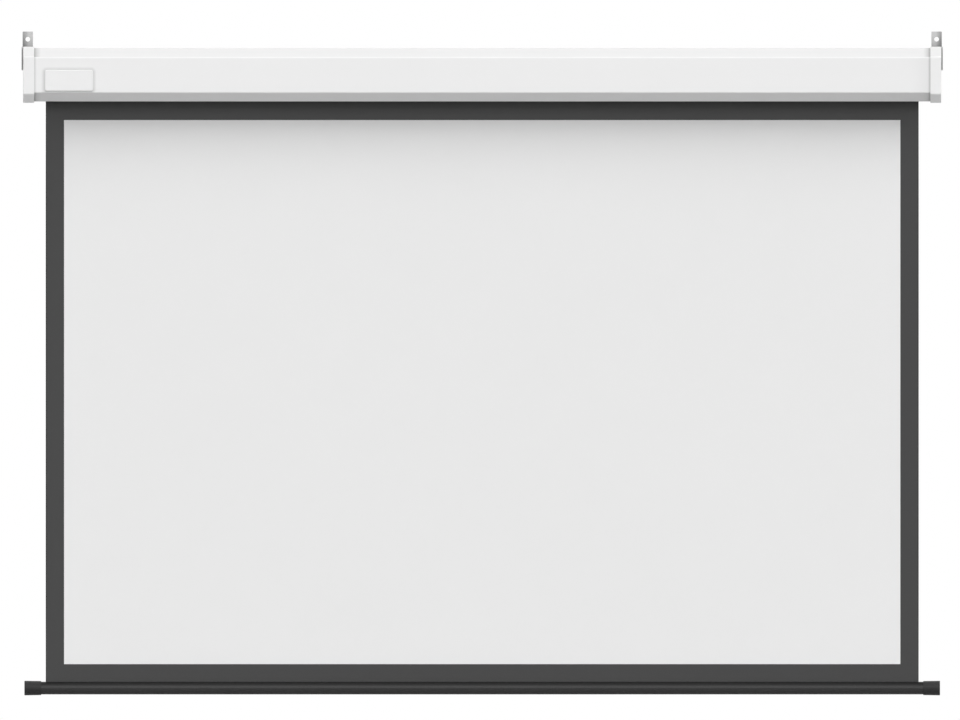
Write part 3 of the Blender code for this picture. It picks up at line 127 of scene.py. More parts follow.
def place(name, description, mm, **limits):
    """A coordinate that a user may change, given in millimetres."""
    return bpy.props.FloatProperty(
        name=name, description=description, default=mm * MM, unit="LENGTH", precision=4, **limits
    )


def size(name, description, mm):
    """A length that a user may change, given in millimetres."""
    return place(name, description, mm, min=0.0)


def degrees(name, description, default):
    """An angle that a user may change."""
    return bpy.props.FloatProperty(
        name=name, description=description, default=radians(default), subtype="ANGLE"
    )


def amount(name, description, default):
    """A plain number that a user may change."""
    return bpy.props.FloatProperty(name=name, description=description, default=default)


def colour(name, description, code):
    """A colour that a user may change."""
    return bpy.props.FloatVectorProperty(
        name=name, description=description, default=linear(code), size=4, min=0, max=1,
        subtype="COLOR",
    )


class ScreenCasingSettings(PropertyGroup):
    wall: size("Wall", "Thickness of the extruded wall", 1.8)
    upper_chamfer: size("Upper chamfer", "Leg of the upper front chamfer", 18.0)
    lower_chamfer: size("Lower chamfer", "Leg of the lower front chamfer", 16.8)
    corner: size("Corner radius", "Radius of the extrusion's outer corners", 4.0)
    slot_front: size("Slot front", "From the back face to the slot's front edge", 28.0)
    slot_rear: size("Slot rear", "From the back face to the slot's rear edge", 14.0)
    slot_lip: size("Slot lip", "Height of the lips that stand inside the slot", 5.0)
    port_radius: size("Port radius", "Outer radius of the screw ports", 3.8)
    port_bore: size("Port bore", "Inner radius of the screw ports", 1.9)
    paint: colour("Paint", "White powder coat", "#EEEEEE")
    # Grey of the dust, also the colour of the painted shade by the caps, round the badge, at the
    # right end and on upward faces.
    dust_and_shade: colour("Grime", "Grey dust that gathers in the corners", "#4A4A48")


class ScreenEndSettings(PropertyGroup):
    wall: size("Cap wall", "Thickness of the cap's side walls", 2.2)
    end_wall: size("Cap end wall", "Thickness of the cap's end wall", 2.5)
    edge: size("Cap edge", "Radius of the cap's outer rim", 1.2)
    overlap: size("Overlap", "How far the mouth reaches past the CAD cap", 0.1)
    lower_chamfer: size("Cap's lower chamfer", "Height of the lower front chamfer", 16.7)
    lower_depth: size("Cap's lower depth", "Depth of the lower front chamfer", 12.8)
    corner: size("Cap corner", "Radius of the cap's long corners", 4.0)
    boss_wall: size("Boss wall", "Wall of the stubs round the screws", 2.0)
    boss_gap: size("Boss gap", "Room between the stubs and the end plate", 0.3)
    plastic: colour("Plastic", "White moulded ABS", "#EFEFEF")
    sheet: size("Bracket sheet", "Thickness of the bracket's steel", 2.5)
    bend: size("Bend radius", "Inner radius of the bracket's fold", 1.5)
    ear_height: size("Ear height", "Height of the ear above the cap", 29.0)
    ear_step: size("Ear step", "From the bracket's outer face to the ear", 1.9)
    ear_corner: size("Ear corner", "Radius of the ear's upper corners", 1.5)
    ear_hole: size("Ear hole", "Radius of the hole in the ear", 4.5)
    hole_above: size("Hole above cap", "Height of the ear's hole above the cap", 14.3)
    flange_corner: size("Flange corner", "Radius of the flange's front corners", 6.0)
    steel: colour("Bracket steel", "Galvanised steel of the brackets", "#C0C0C0")


class ScreenBadgeSettings(PropertyGroup):
    centre_x: place("Place", "Middle of the plate along the casing", -790.8)
    centre_z: place("Height", "Middle of the plate above the casing's axis", -11.2)
    width: size("Width", "Width of the plate", 91.6)
    height: size("Height of plate", "Height of the plate", 39.2)
    thickness: size("Thickness", "How far the plate stands proud", 2.2)
    corner: size("Corner", "Radius of the plate's corners", 3.0)
    edge: size("Edge", "Radius of the plate's front edge", 0.9)
    plastic: colour("Plastic", "White moulded ABS of the bare plate", "#EFEFEF")


class ScreenFabricSettings(PropertyGroup):
    thickness: size("Thickness", "Thickness of the coated fabric", 0.45)
    wave: size("Wave", "Depth of the slow waves", 0.5)
    curl: size("Edge curl", "How far the cut edges curl back", 0.9)
    curl_width: size("Curl width", "Width of the curl", 4.0)
    face: colour("Viewing face", "Matt white coated face", "#ECECEC")
    border: colour("Border", "Matt black printed border", "#303030")
    backing: colour("Backing", "Black opaque backing", "#2C2C2C")


class ScreenBarSettings(PropertyGroup):
    radius: size("Radius", "Outer radius of the bar", 12.2)
    wall: size("Wall", "Thickness of the bar's wall", 1.12)
    channel: size("Channel", "Radius of the keyhole channel", 2.2)
    lip: size("Channel lip", "Depth of the channel's mouth", 1.0)
    cap_inner: size("Cap inner radius", "Radius of the cap at its mouth", 13.5)
    cap_edge: size("Cap edge", "Radius of the cap's outer edge", 1.1)
    cap_end_wall: size("Cap end wall", "Thickness of the cap's end", 6.0)
    paint: colour("Paint", "Black satin powder coat", "#393939")
    # Darker paint for the bar's top, painted shade.
    shaded_top_paint: colour("Unworn paint", "The same paint on top, where no hand rubs it", "#202020")
    plastic: colour("Cap plastic", "Black moulded ABS", "#323232")


class ScreenStudioSettings(PropertyGroup):
    view_width: size("View width", "Width of the picture at the object", 1836.7)
    view_x: place("View middle", "Middle of the picture", -4.2)
    view_z: place("View height", "Height of the picture's middle", -545.8)
    front_fill: amount("Front fill", "Low wide light in front", 2.06)
    rear_fill: amount("Rear fill", "Low wide light behind", 0.8)
    top_fill: amount("Top fill", "Light of the sky above them", 0.1)
    floor_height: place("Floor", "Height of the floor", -1600)
    floor: colour("Floor colour", "Pale matt floor, as the camera sees it", "#DADADA")
    bounce: colour("Front bounce", "What the floor in front gives back as light", "#7A7A7A")
    rear_bounce: colour("Rear bounce", "What the floor behind gives back as light", "#E0E0E0")


# A key above the camera, one to its right, one behind, and a strip that alone streaks the bar:
# angle above the horizon, turn to the right, angle that it fills, irradiance, shown in gloss.
LAMPS = {
    "soft_key": (50, 0, 46, 1.48, False),
    "side_key": (48, 55, 46, 1.1, False),
    "back_key": (38, 180, 46, 1.5, False),
    "low_strip": (18, 0, 17, 0.35, True),
}
for lamp, (height, turn, spread, strength, _) in LAMPS.items():
    title = lamp.replace("_", " ").capitalize()
    ScreenStudioSettings.__annotations__ |= {
        f"{lamp}_height": degrees(f"{title} height", "Angle above the horizon", height),
        f"{lamp}_turn": degrees(f"{title} turn", "Angle to the right of the camera", turn),
        f"{lamp}_spread": degrees(f"{title} spread", "Angle that the light fills", spread),
        f"{lamp}_strength": amount(f"{title} strength", "Irradiance", strength),
    }

SETTINGS = {
    "screen_casing": ScreenCasingSettings,
    "screen_ends": ScreenEndSettings,
    "screen_badge": ScreenBadgeSettings,
    "screen_fabric": ScreenFabricSettings,
    "screen_bar": ScreenBarSettings,
    "screen_studio": ScreenStudioSettings,
}


def deselect():
    """Object mode with nothing selected."""
    if bpy.context.object and bpy.context.object.mode != "OBJECT":
        bpy.ops.object.mode_set(mode="OBJECT")
    bpy.ops.object.select_all(action="DESELECT")


def activate(obj):
    """Makes one piece the only selected and the active one."""
    deselect()
    obj.select_set(True)
    bpy.context.view_layer.objects.active = obj


def settle(name):
    """Moves the active piece's place into its mesh and names both."""
    bpy.ops.object.transform_apply(location=True, rotation=True, scale=True)
    obj = bpy.context.object
    obj.name = obj.data.name = name
    return obj


def block(name, low, high):
    """A cuboid between two corners, the start of a shaped piece."""
    deselect()
    low, high = Vector(low), Vector(high)
    bpy.ops.mesh.primitive_cube_add(size=1, location=(low + high) / 2)
    bpy.context.object.scale = high - low
    return settle(name)


def ring(name, centre, radius, points):
    """An open ring of points round a line along X, the start of a tube."""
    deselect()
    bpy.ops.mesh.primitive_circle_add(
        vertices=points, radius=radius, fill_type="NOTHING", location=centre,
        rotation=(0, pi / 2, 0),
    )
    return settle(name)


def cone(name, start, end, radii, points):
    """A closed cone or cylinder from one point to another."""
    deselect()
    start, end = Vector(start), Vector(end)
    bpy.ops.mesh.primitive_cone_add(
        vertices=points, radius1=radii[0], radius2=radii[1], depth=(end - start).length,
        location=(start + end) / 2, rotation=(end - start).to_track_quat("Z", "Y").to_euler(),
    )
    return settle(name)


def peg(name, side, start, end, middle, radii, points=32):
    """A cone along X on one side of the screen, at a Y and Z."""
    return cone(name, (side * start, *middle), (side * end, *middle), radii, points)


def place_of(item):
    """Middle of a vertex, an edge or a face."""
    if isinstance(item, BMVert):
        return item.co
    if isinstance(item, BMEdge):
        return (item.verts[0].co + item.verts[1].co) / 2
    return item.calc_center_median()


def at(value, target):
    return abs(value - target) < NEAR


def runs_along(edge, axis):
    """True for an edge that runs along one axis."""
    step = edge.verts[1].co - edge.verts[0].co
    return abs(step[axis]) > SQUARE * step.length


def edges_along(axis, *spots):
    """Test for edges along one axis at any of the spots, each a pair on the other axes."""
    others = [i for i in range(3) if i != axis]
    match = lambda co, spot: all(at(co[i], value) for i, value in zip(others, spot))
    return lambda e: runs_along(e, axis) and any(match(place_of(e), spot) for spot in spots)


def edges_across(x):
    """Test for edges that lie in one plane across X."""
    return lambda e: all(at(v.co.x, x) for v in e.verts)


def faces_across(x):
    """Test for faces with their middle in one plane across X."""
    return lambda f: at(place_of(f).x, x)


def shape():
    bpy.ops.object.mode_set(mode="EDIT")


def done():
    bpy.ops.object.mode_set(mode="OBJECT")


def pick(kind, test):
    """Selects only what passes the test, in edit mode."""
    mesh = bpy.context.object.data
    bpy.ops.mesh.select_mode(type=kind)
    bpy.ops.mesh.select_all(action="DESELECT")
    form = bmesh.from_edit_mesh(mesh)
    items = {"VERT": form.verts, "EDGE": form.edges, "FACE": form.faces}[kind]
    found = [item for item in items if test(item)]
    if not found:
        raise RuntimeError(f"{mesh.name}: nothing to select")
    for item in found:
        item.select_set(True)
    form.select_flush_mode()
    bmesh.update_edit_mesh(mesh)


def pick_all():
    bpy.ops.mesh.select_all(action="SELECT")


def extrude(x, y, z):
    bpy.ops.mesh.extrude_region_move(TRANSFORM_OT_translate={"value": (x, y, z)})


def slice_at(spot, normal):
    """Draws new edges right round the piece where a plane meets it."""
    pick_all()
    bpy.ops.mesh.bisect(plane_co=spot, plane_no=normal)


def round_edges(test, width, segments):
    """Bevels the edges that pass the test."""
    pick("EDGE", test)
    bpy.ops.mesh.bevel(offset_type="OFFSET", offset=width, segments=segments, affect="EDGES")


def turn_outwards():
    """Makes all faces point outwards, before the piece gets its wall."""
    pick_all()
    bpy.ops.mesh.normals_make_consistent(inside=False)


def modify(obj, kind, **settings):
    """Adds a modifier and applies it."""
    activate(obj)
    made = obj.modifiers.new(kind.title(), kind)
    for name, value in settings.items():
        setattr(made, name, value)
    bpy.ops.object.modifier_apply(modifier=made.name)


def cut(obj, tool, operation="DIFFERENCE"):
    """Cuts a tool out of a piece, or joins it on, and removes the tool."""
    modify(obj, "BOOLEAN", object=tool, operation=operation, solver="EXACT")
    bpy.data.objects.remove(tool, do_unlink=True)


def tie(obj, body, slot, *nodes):
    """Lets a piece ride on a body, in place of solids; its material slot is not used."""
    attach(obj, body)
    if nodes:
        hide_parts(*nodes)


def finish_piece(obj, body, slot, made, *nodes):
    """Smooths a piece, gives it its material and ties it to the frame."""
    activate(obj)
    shape()
    bpy.ops.mesh.select_mode(type="VERT")
    pick_all()
    bpy.ops.mesh.remove_doubles(threshold=WELD)
    bpy.ops.mesh.select_all(action="DESELECT")
    done()
    bpy.ops.object.shade_smooth_by_angle(angle=SMOOTH_ANGLE)
    modify(obj, "WEIGHTED_NORMAL", keep_sharp=True, weight=100)
    obj.data.materials.clear()
    obj.data.materials.append(made)
    tie(obj, body, slot, *nodes)


def add(tree, kind, inputs=(), **settings):
    """Adds a node and gives its outputs; each input is a value or another node's output."""
    node = tree.nodes.new("ShaderNode" + kind)
    for name, value in settings.items():
        setattr(node, name, value)
    for name, value in inputs.items() if isinstance(inputs, dict) else enumerate(inputs):
        socket = node.inputs[name]
        if isinstance(value, bpy.types.NodeSocket):
            tree.links.new(value, socket)
        else:
            socket.default_value = value
    return node.outputs


def start_material(name, shader):
    """An empty material: itself, its nodes, its shader and the piece's own coordinates."""
    made = bpy.data.materials.get(name)
    if made:
        bpy.data.materials.remove(made)
    made = bpy.data.materials.new(name)
    made.use_nodes = True
    tree = made.node_tree
    tree.nodes.clear()
    surface = add(tree, "BsdfPrincipled", shader)["BSDF"]
    add(tree, "OutputMaterial", {"Surface": surface})
    return made, tree, surface.node, add(tree, "TexCoord")["Object"]


def shade(code, factor):
    """A colour made lighter or darker."""
    return (*(min(1.0, v * factor) for v in code[:3]), 1.0)


def axes(tree, kind):
    """X, Y and Z of where a point is ("Object") or of the way its surface faces ("Normal")."""
    return add(tree, "SeparateXYZ", (add(tree, "TexCoord")[kind],))


def mottled(tree, where, patch, low, high, detail=2.0):
    """A colour that wanders between two shades in patches, and the pattern itself."""
    pattern = add(tree, "TexNoise", {"Vector": where, "Scale": 1 / patch, "Detail": detail})["Fac"]
    mixed = add(tree, "Mix", {0: pattern, 6: low, 7: high}, data_type="RGBA")[2]
    return mixed, pattern


def gathered(tree, share, span, mask=1.0, curve="LINEAR"):
    """One more layer on a share: a ramp of value, from, to, low and high, kept by a mask."""
    ramp = add(tree, "MapRange", span, interpolation_type=curve)[0]
    return add(tree, "Math", (ramp, mask, share), operation="MULTIPLY_ADD")[0]


def coat(tree, bsdf, tone, grain, gloss, relief, strength=0.5):
    """Links the colour, and lets one grain set the roughness and the relief."""
    rough = add(tree, "MapRange", (grain, 0.0, 1.0, *gloss))[0]
    bump = {"Height": grain, "Distance": relief, "Strength": strength}
    tree.links.new(tone, bsdf.inputs["Base Color"])
    tree.links.new(rough, bsdf.inputs["Roughness"])
    tree.links.new(add(tree, "Bump", bump)["Normal"], bsdf.inputs["Normal"])


def settled_dust_and_shade(tree, tone, dust):
    """Dust on whatever faces up, which is also painted shade: it dims those faces a little."""
    share = add(tree, "MapRange", (axes(tree, "Normal")["Z"], 0.5, 0.7, 0.0, 0.16))[0]
    return add(tree, "Mix", {0: share, 6: tone, 7: dust}, data_type="RGBA")[2]


def painted(name, paint, roughness, specular=0.5, dust_and_shade=None):
    """Powder coat: resin powder baked to a fine orange peel, which softens an even sheen."""
    made, tree, bsdf, where = start_material(name, {"Specular IOR Level": specular})
    tone, _ = mottled(tree, where, PAINT_CLOUD, shade(paint, 0.99), shade(paint, 1.01), 3.0)
    # Adds any dust and painted shade to the colour.
    tone = dust_and_shade(tree, tone) if dust_and_shade else tone
    peel = add(tree, "TexNoise", {"Vector": where, "Scale": 1 / PEEL})["Fac"]
    coat(tree, bsdf, tone, peel, (roughness - 0.04, roughness + 0.04), 0.02 * MM)
    return made


def moulded(name, plastic, roughness, specular=0.5, dust_and_shade=None):
    """Injection-moulded plastic: the mould's spark-eroded grain leaves a fine even pebble."""
    made, tree, bsdf, where = start_material(name, {"Specular IOR Level": specular})
    tone, _ = mottled(tree, where, MOULD_CLOUD, shade(plastic, 0.99), shade(plastic, 1.01))
    # Adds any dust and painted shade to the colour.
    tone = dust_and_shade(tree, tone) if dust_and_shade else tone
    pebble = add(tree, "TexVoronoi", {"Vector": where, "Scale": 1 / PEBBLE})["Distance"]
    coat(tree, bsdf, tone, pebble, (roughness, roughness + 0.08), 0.015 * MM, 0.4)
    return made


def galvanised(name, steel, cap_top, ear_outer):
    """Hot-dipped zinc on steel: soft crystals, with painted shade at the ear's edge and foot and on
    front edges.
    """
    made, tree, bsdf, where = start_material(name, {"Metallic": 0.35})
    crystals = add(tree, "TexVoronoi", {"Vector": where, "Scale": 1 / SPANGLE})["Color"]
    level = add(tree, "RGBToBW", (crystals,))[0]
    shades = {0: level, 6: shade(steel, 0.94), 7: shade(steel, 1.05)}
    tone = add(tree, "Mix", shades, data_type="RGBA")[2]
    spot = add(tree, "SeparateXYZ", (where,))
    out = add(tree, "Math", (spot["X"],), operation="ABSOLUTE")[0]
    above = add(tree, "MapRange", (spot["Z"], cap_top - MM, cap_top + MM))[0]
    below = add(tree, "Math", (1.0, above), operation="SUBTRACT")[0]
    # Painted shade: darker toward the ear's outer edge, at the ear's foot by the cap, and on
    # front-facing faces below the cap's top.
    ear_edge_shade = (out, ear_outer - 13 * MM, ear_outer - 3 * MM, 0.0, 0.38)
    ear_foot_shade = (spot["Z"], cap_top, cap_top + 24 * MM, 0.4, 0.0)
    front_edge_shade = (axes(tree, "Normal")["Y"], -0.9, -0.6, 0.5, 0.0)
    shade_share = gathered(tree, 0.0, ear_edge_shade, above, "SMOOTHSTEP")
    shade_share = gathered(tree, shade_share, ear_foot_shade, above)
    shade_share = gathered(tree, shade_share, front_edge_shade, below)
    tone = add(tree, "Mix", {0: shade_share, 6: tone, 7: shade(steel, 0.15)}, data_type="RGBA")[2]
    coat(tree, bsdf, tone, level, (0.42, 0.56), 0.02 * MM, 0.3)
    return made


def metal(name, base, roughness, line=(1, 1, 1)):
    """Bare or plated metal: drawn tube and turned parts keep fine lines that streak the gloss."""
    made, tree, bsdf, where = start_material(name, {"Metallic": 1.0})
    where = add(tree, "Mapping", {"Vector": where, "Scale": line})["Vector"]
    tone, grain = mottled(tree, where, DRAW_LINE, shade(base, 0.88), shade(base, 1.08), 3.0)
    coat(tree, bsdf, tone, grain, (roughness - 0.08, roughness + 0.08), 0.02 * MM, 0.4)
    return made


def windings(name):
    """Motor stack: dull bands of punched steel sheets between rings of copper wire."""
    made, tree, bsdf, where = start_material(name, {"Metallic": 0.85})
    bands = {"Vector": where, "Scale": WAVE / LAMINATION, "Distortion": 0.4}
    sheets = add(tree, "TexWave", bands, bands_direction="X")["Fac"]
    shades = {0: sheets, 6: linear("#7C7A78"), 7: linear("#A9A6A2")}
    steel = add(tree, "Mix", shades, data_type="RGBA")[2]
    tone, _ = mottled(tree, where, COIL, steel, linear("#A8603A"))
    coat(tree, bsdf, tone, sheets, (0.38, 0.46), 0.05 * MM)
    return made


def coated_fabric(name, face, roughness, specular, half=None):
    """Glass-fibre cloth with a matt vinyl coat, through which its threads only just show."""
    made, tree, bsdf, _ = start_material(name, {"Specular IOR Level": specular})
    flat = add(tree, "UVMap", uv_map="cloth")["UV"]
    threads = {"Vector": flat, "Scale": WAVE / THREAD}
    warp = add(tree, "TexWave", threads, bands_direction="X")["Fac"]
    weft = add(tree, "TexWave", threads, bands_direction="Y")["Fac"]
    weave = add(tree, "Math", (warp, weft), operation="MULTIPLY")[0]
    tone, _ = mottled(tree, flat, CLOTH_CLOUD, shade(face, 0.994), shade(face, 1.006), 3.0)
    # Painted shade of the curled cut edges: the border darkens toward its outer edges.
    if half:
        across = add(tree, "SeparateXYZ", (flat,))["X"]
        across = add(tree, "Math", (across,), operation="ABSOLUTE")[0]
        curl_shade = add(tree, "MapRange", (across, half - 2.2 * MM, half - 0.8 * MM))[0]
        tone = add(tree, "Mix", {0: curl_shade, 6: tone, 7: shade(face, 0.3)}, data_type="RGBA")[2]
    coat(tree, bsdf, tone, weave, (roughness, roughness + 0.06), 0.05 * MM, 0.5)
    return made


def middle_of(low, high):
    """Y and Z of a box's middle."""
    return (low.y + high.y) / 2, (low.z + high.z) / 2


def seat_tool(side, x, middle, seat):
    """The tool of a countersunk hole: a cone from head to shank, then a long shank."""
    head, shank, depth, length = seat
    tool = peg("seat", side, x, x - depth, middle, (head, shank))
    shape()
    pick("FACE", faces_across(side * (x - depth)))
    extrude(-side * length, 0, 0)
    pick("FACE", faces_across(side * x))
    extrude(side * MM, 0, 0)
    done()
    return tool


def chamfered_bar(name, low, high, upper, lower, lower_depth, radius, segments):
    """A long block with its front edges chamfered and all of its long edges rounded."""
    obj = block(name, low, high)
    shape()
    round_edges(edges_along(0, (low[1], high[2])), upper, 1)
    round_edges(edges_along(0, (low[1], low[2])), lower, 1)
    pick("EDGE", edges_along(0, (low[1] + lower, low[2])))
    bpy.ops.transform.translate(value=(0, lower_depth - lower, 0))
    blunt = [(low[1], high[2] - upper), (low[1] + upper, high[2])]
    blunt += [(low[1], low[2] + lower), (low[1] + lower_depth, low[2])]
    round_edges(edges_along(0, *blunt), radius * tan(pi / 8), segments)
    round_edges(edges_along(0, (high[1], high[2]), (high[1], low[2])), radius, segments)
    return obj


def casing_dust_and_shade(tree, tone, s, scene):
    """Dust and painted shade on what faces up; painted shade by the caps' mouths, round the badge
    and at the right end.
    """
    tone = settled_dust_and_shade(tree, tone, s.dust_and_shade)
    mouth, badge = CAP_LOW.x - scene.screen_ends.overlap, scene.screen_badge
    spot = axes(tree, "Object")
    along = add(tree, "Math", (spot["X"],), operation="ABSOLUTE")[0]
    start, end = CASING_HIGH.z - s.upper_chamfer, CASING_HIGH.z - s.lower_chamfer
    slopes = add(tree, "MapRange", (spot["Z"], start, end))[0]
    slopes = gathered(tree, slopes, (spot["Z"], -start, -end, 0.0, 0.4))
    behind = CASING_LOW.y + s.upper_chamfer
    slopes = gathered(tree, 0.0, (spot["Y"], behind, behind + 30 * MM, 1.0, 0.0), slopes)
    front = add(tree, "Math", (spot["Y"], CASING_LOW.y + MM), operation="LESS_THAN")[0]

    # Painted shade where the casing meets the caps' mouths, wider on the chamfers, and painted
    # shade growing toward the right end.
    share = add(tree, "MapRange", (along, mouth - 5 * MM, mouth, 0.0, 0.29))[0]
    slope_shade = (along, mouth - 15 * MM, mouth - 2 * MM, 0.0, 0.26)
    share = gathered(tree, share, slope_shade, slopes, "SMOOTHSTEP")
    right_end_shade = add(tree, "MapRange", (spot["X"], mouth - 45 * MM, mouth, 0.0, 0.28))[0]
    right_end_shade = add(tree, "Math", (right_end_shade, 2.0), operation="POWER")[0]
    share = add(tree, "Math", (right_end_shade, front, share), operation="MULTIPLY_ADD")[0]

    # Painted shadow round the badge plate, strongest at its edge.
    off, zero = add(tree, "TexCoord")["Object"], (0, 0, 0)
    middle = (badge.centre_x, 0, badge.centre_z)
    reach = (badge.width / 2 - badge.corner, 1, badge.height / 2 - badge.corner)  # Y counts as 0
    steps = (("SUBTRACT", middle), ("ABSOLUTE", zero), ("SUBTRACT", reach), ("MAXIMUM", zero))
    for operation, other in steps:
        off = add(tree, "VectorMath", (off, other), operation=operation)[0]
    off = add(tree, "VectorMath", (off,), operation="LENGTH")["Value"]
    badge_shadow = (off, badge.corner, badge.corner + 8 * MM, 0.25, 0.0)
    share = gathered(tree, share, badge_shadow, front, "SMOOTHSTEP")
    return add(tree, "Mix", {0: share, 6: tone, 7: s.dust_and_shade}, data_type="RGBA")[2]


def screw_port(name, y, z, s):
    """A tube with a lengthways mouth that faces the middle of the casing."""
    radius = (s.port_radius + s.port_bore) / 2
    port = ring(name, (CASING_LOW.x, y, z), radius, 36)
    inward = -1 if z > 0 else 1
    shape()
    pick("VERT", lambda v: (v.co.z - z) * inward > radius * cos(PORT_MOUTH))
    bpy.ops.mesh.delete(type="VERT")
    pick_all()
    extrude(CASING_HIGH.x - CASING_LOW.x, 0, 0)
    turn_outwards()
    done()
    modify(port, "SOLIDIFY", thickness=s.port_radius - s.port_bore, offset=0)
    return port


class SCREEN_OT_casing(Operator):
    """Builds the extruded casing with its slot, lips and screw ports"""

    bl_idname = "screen_parts.casing"
    bl_label = "Build casing"

    def execute(self, context):
        s = context.scene.screen_casing
        low, high = CASING_LOW, CASING_HIGH
        chamfers = (s.upper_chamfer, s.lower_chamfer, s.lower_chamfer)
        shell = chamfered_bar("casing_shell", low, high, *chamfers, s.corner, 6)
        pick("FACE", lambda f: abs(f.normal.x) > FACING)
        bpy.ops.mesh.delete(type="ONLY_FACE")
        for y in (-s.slot_front, -s.slot_rear):
            pick("FACE", lambda f: f.normal.z < -SQUARE)
            bpy.ops.mesh.bisect(plane_co=(0, y, 0), plane_no=(0, 1, 0))
        middle = -(s.slot_front + s.slot_rear) / 2
        pick("FACE", lambda f: f.normal.z < -SQUARE and at(place_of(f).y, middle))
        bpy.ops.mesh.delete(type="ONLY_FACE")
        slot = edges_along(0, (-s.slot_front, low.z), (-s.slot_rear, low.z))
        pick("EDGE", slot)
        extrude(0, 0, s.slot_lip)
        round_edges(slot, LIP_EDGE, 3)
        bpy.ops.mesh.select_all(action="DESELECT")
        done()
        modify(shell, "SOLIDIFY", thickness=s.wall, offset=-1, use_even_offset=True)
        ports = [screw_port(f"port_{i}", *middle_of(*box), s) for i, box in enumerate(END_SCREWS)]
        activate(shell)
        for port in ports:
            port.select_set(True)
        bpy.ops.object.join()
        # Dust and painted shade on the casing's paint.
        dust_and_shade = lambda tree, tone: casing_dust_and_shade(tree, tone, s, context.scene)
        finish = painted("powder_coated_aluminium_white", s.paint, 0.42, 0.2, dust_and_shade)
        finish_piece(shell, "case", "white_powder_coat", finish, "casing")
        return {"FINISHED"}


def on_outline(edge, wall):
    """True for an edge on the cap's outer outline, not on the pocket's."""
    co = place_of(edge)
    spread = min(*(co.yz - CAP_LOW.yz), *(CAP_HIGH.yz - co.yz))
    corner = (CAP_HIGH.z - abs(co.z)) + (co.y - CAP_LOW.y)
    return spread < wall / 2 or corner < CHAMFER_REACH


def end_cap(name, side, s, chamfer):
    upper = chamfer + (CAP_HIGH.z - CASING_HIGH.z) * (2 - sqrt(2))
    inner, outer = CAP_LOW.x - s.overlap, CAP_HIGH.x
    left, right = sorted((side * inner, side * outer))
    low, high = (left, *CAP_LOW.yz), (right, *CAP_HIGH.yz)
    cap = chamfered_bar(name, low, high, upper, s.lower_chamfer, s.lower_depth, s.corner, 8)
    pick("FACE", faces_across(side * inner))
    bpy.ops.mesh.inset(thickness=s.wall)
    extrude(side * (outer - inner - s.end_wall), 0, 0)
    round_edges(edges_across(side * outer), s.edge, 4)
    at_mouth = edges_across(side * inner)
    round_edges(lambda e: at_mouth(e) and on_outline(e, s.wall), CAP_RIM, 3)
    done()
    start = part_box("right_end_plate")[1].x + s.boss_gap
    for box in END_SCREWS + BRACKET_SCREWS:
        middle = middle_of(*box)
        seat = END_SEAT if box in END_SCREWS else BRACKET_SEAT
        bore, end = seat[1], outer - s.end_wall / 2
        boss = bore + s.boss_wall
        cut(cap, peg("boss", side, start, end, middle, (boss, boss)), "UNION")
        if seat is END_SEAT:
            tool = seat_tool(side, outer, middle, seat)
        else:
            tool = peg("hole", side, start - MM, outer + MM, middle, (bore, bore))
        cut(cap, tool)
    if side < 0:
        middle = middle_of(GROMMET_LOW, GROMMET_HIGH)
        flange = (GROMMET_HIGH.z - GROMMET_LOW.z) / 2 + INLET_ROOM
        for radius, depth in ((flange, INLET_SEAT), (INLET_BORE, INLET_DEPTH)):
            tool = peg("inlet", side, outer - depth, outer + MM, middle, (radius, radius), 48)
            cut(cap, tool)
    return cap


class SCREEN_OT_end_caps(Operator):
    """Builds the two moulded end caps with their screw seats and the cable inlet"""

    bl_idname = "screen_parts.end_caps"
    bl_label = "Build end caps"

    def execute(self, context):
        s, casing = context.scene.screen_ends, context.scene.screen_casing
        # Dust and painted shade on the caps' upward faces.
        dust_and_shade = lambda tree, tone: settled_dust_and_shade(tree, tone, casing.dust_and_shade)
        finish = moulded("moulded_abs_white", s.plastic, 0.44, 0.2, dust_and_shade)
        for name, side in SIDES:
            cap = end_cap(f"{name}_cap_shell", side, s, casing.upper_chamfer)
            finish_piece(cap, "case", "white_abs", finish, f"{name}_end_cap")
        return {"FINISHED"}


def front_outline(side, s):
    """The bracket as seen from the front: the ear with its round corners on a wider foot."""
    outer, top = BRACKET_HIGH.x, BRACKET_HIGH.z
    left, right = sorted((side * BRACKET_LOW.x, side * (outer + BEYOND)))
    low = (left, BRACKET_LOW.y - 2 * BEYOND, BRACKET_LOW.z - 2 * BEYOND)
    high = (right, BRACKET_HIGH.y + BEYOND, top - s.ear_height)
    tool = block("front_outline", low, high)
    shape()
    edge = outer - s.ear_step
    slice_at((side * edge, 0, 0), (1, 0, 0))
    pick("FACE", lambda f: f.normal.z > FACING and place_of(f).x * side < edge)
    extrude(0, 0, s.ear_height)
    round_edges(lambda e: runs_along(e, 1) and at(place_of(e).z, top), s.ear_corner, 5)
    done()
    return tool


def side_outline(side, s):
    """The bracket as seen from the side: a flange with round corners, and the ear behind."""
    front, cap_top = BRACKET_LOW.y, BRACKET_HIGH.z - s.ear_height
    ends = (BRACKET_LOW.x - 2 * BEYOND, BRACKET_HIGH.x + 2 * BEYOND)
    left, right = sorted(side * end for end in ends)
    low = (left, front, BRACKET_LOW.z)
    tool = block("side_outline", low, (right, BRACKET_HIGH.y + BEYOND, cap_top))
    shape()
    round_edges(lambda e: runs_along(e, 0) and at(place_of(e).y, front), s.flange_corner, 8)
    step = BRACKET_HIGH.y - s.sheet - MM
    slice_at((0, step, 0), (0, 1, 0))
    pick("FACE", lambda f: f.normal.z > FACING and place_of(f).y > step)
    extrude(0, 0, s.ear_height + BEYOND)
    done()
    return tool


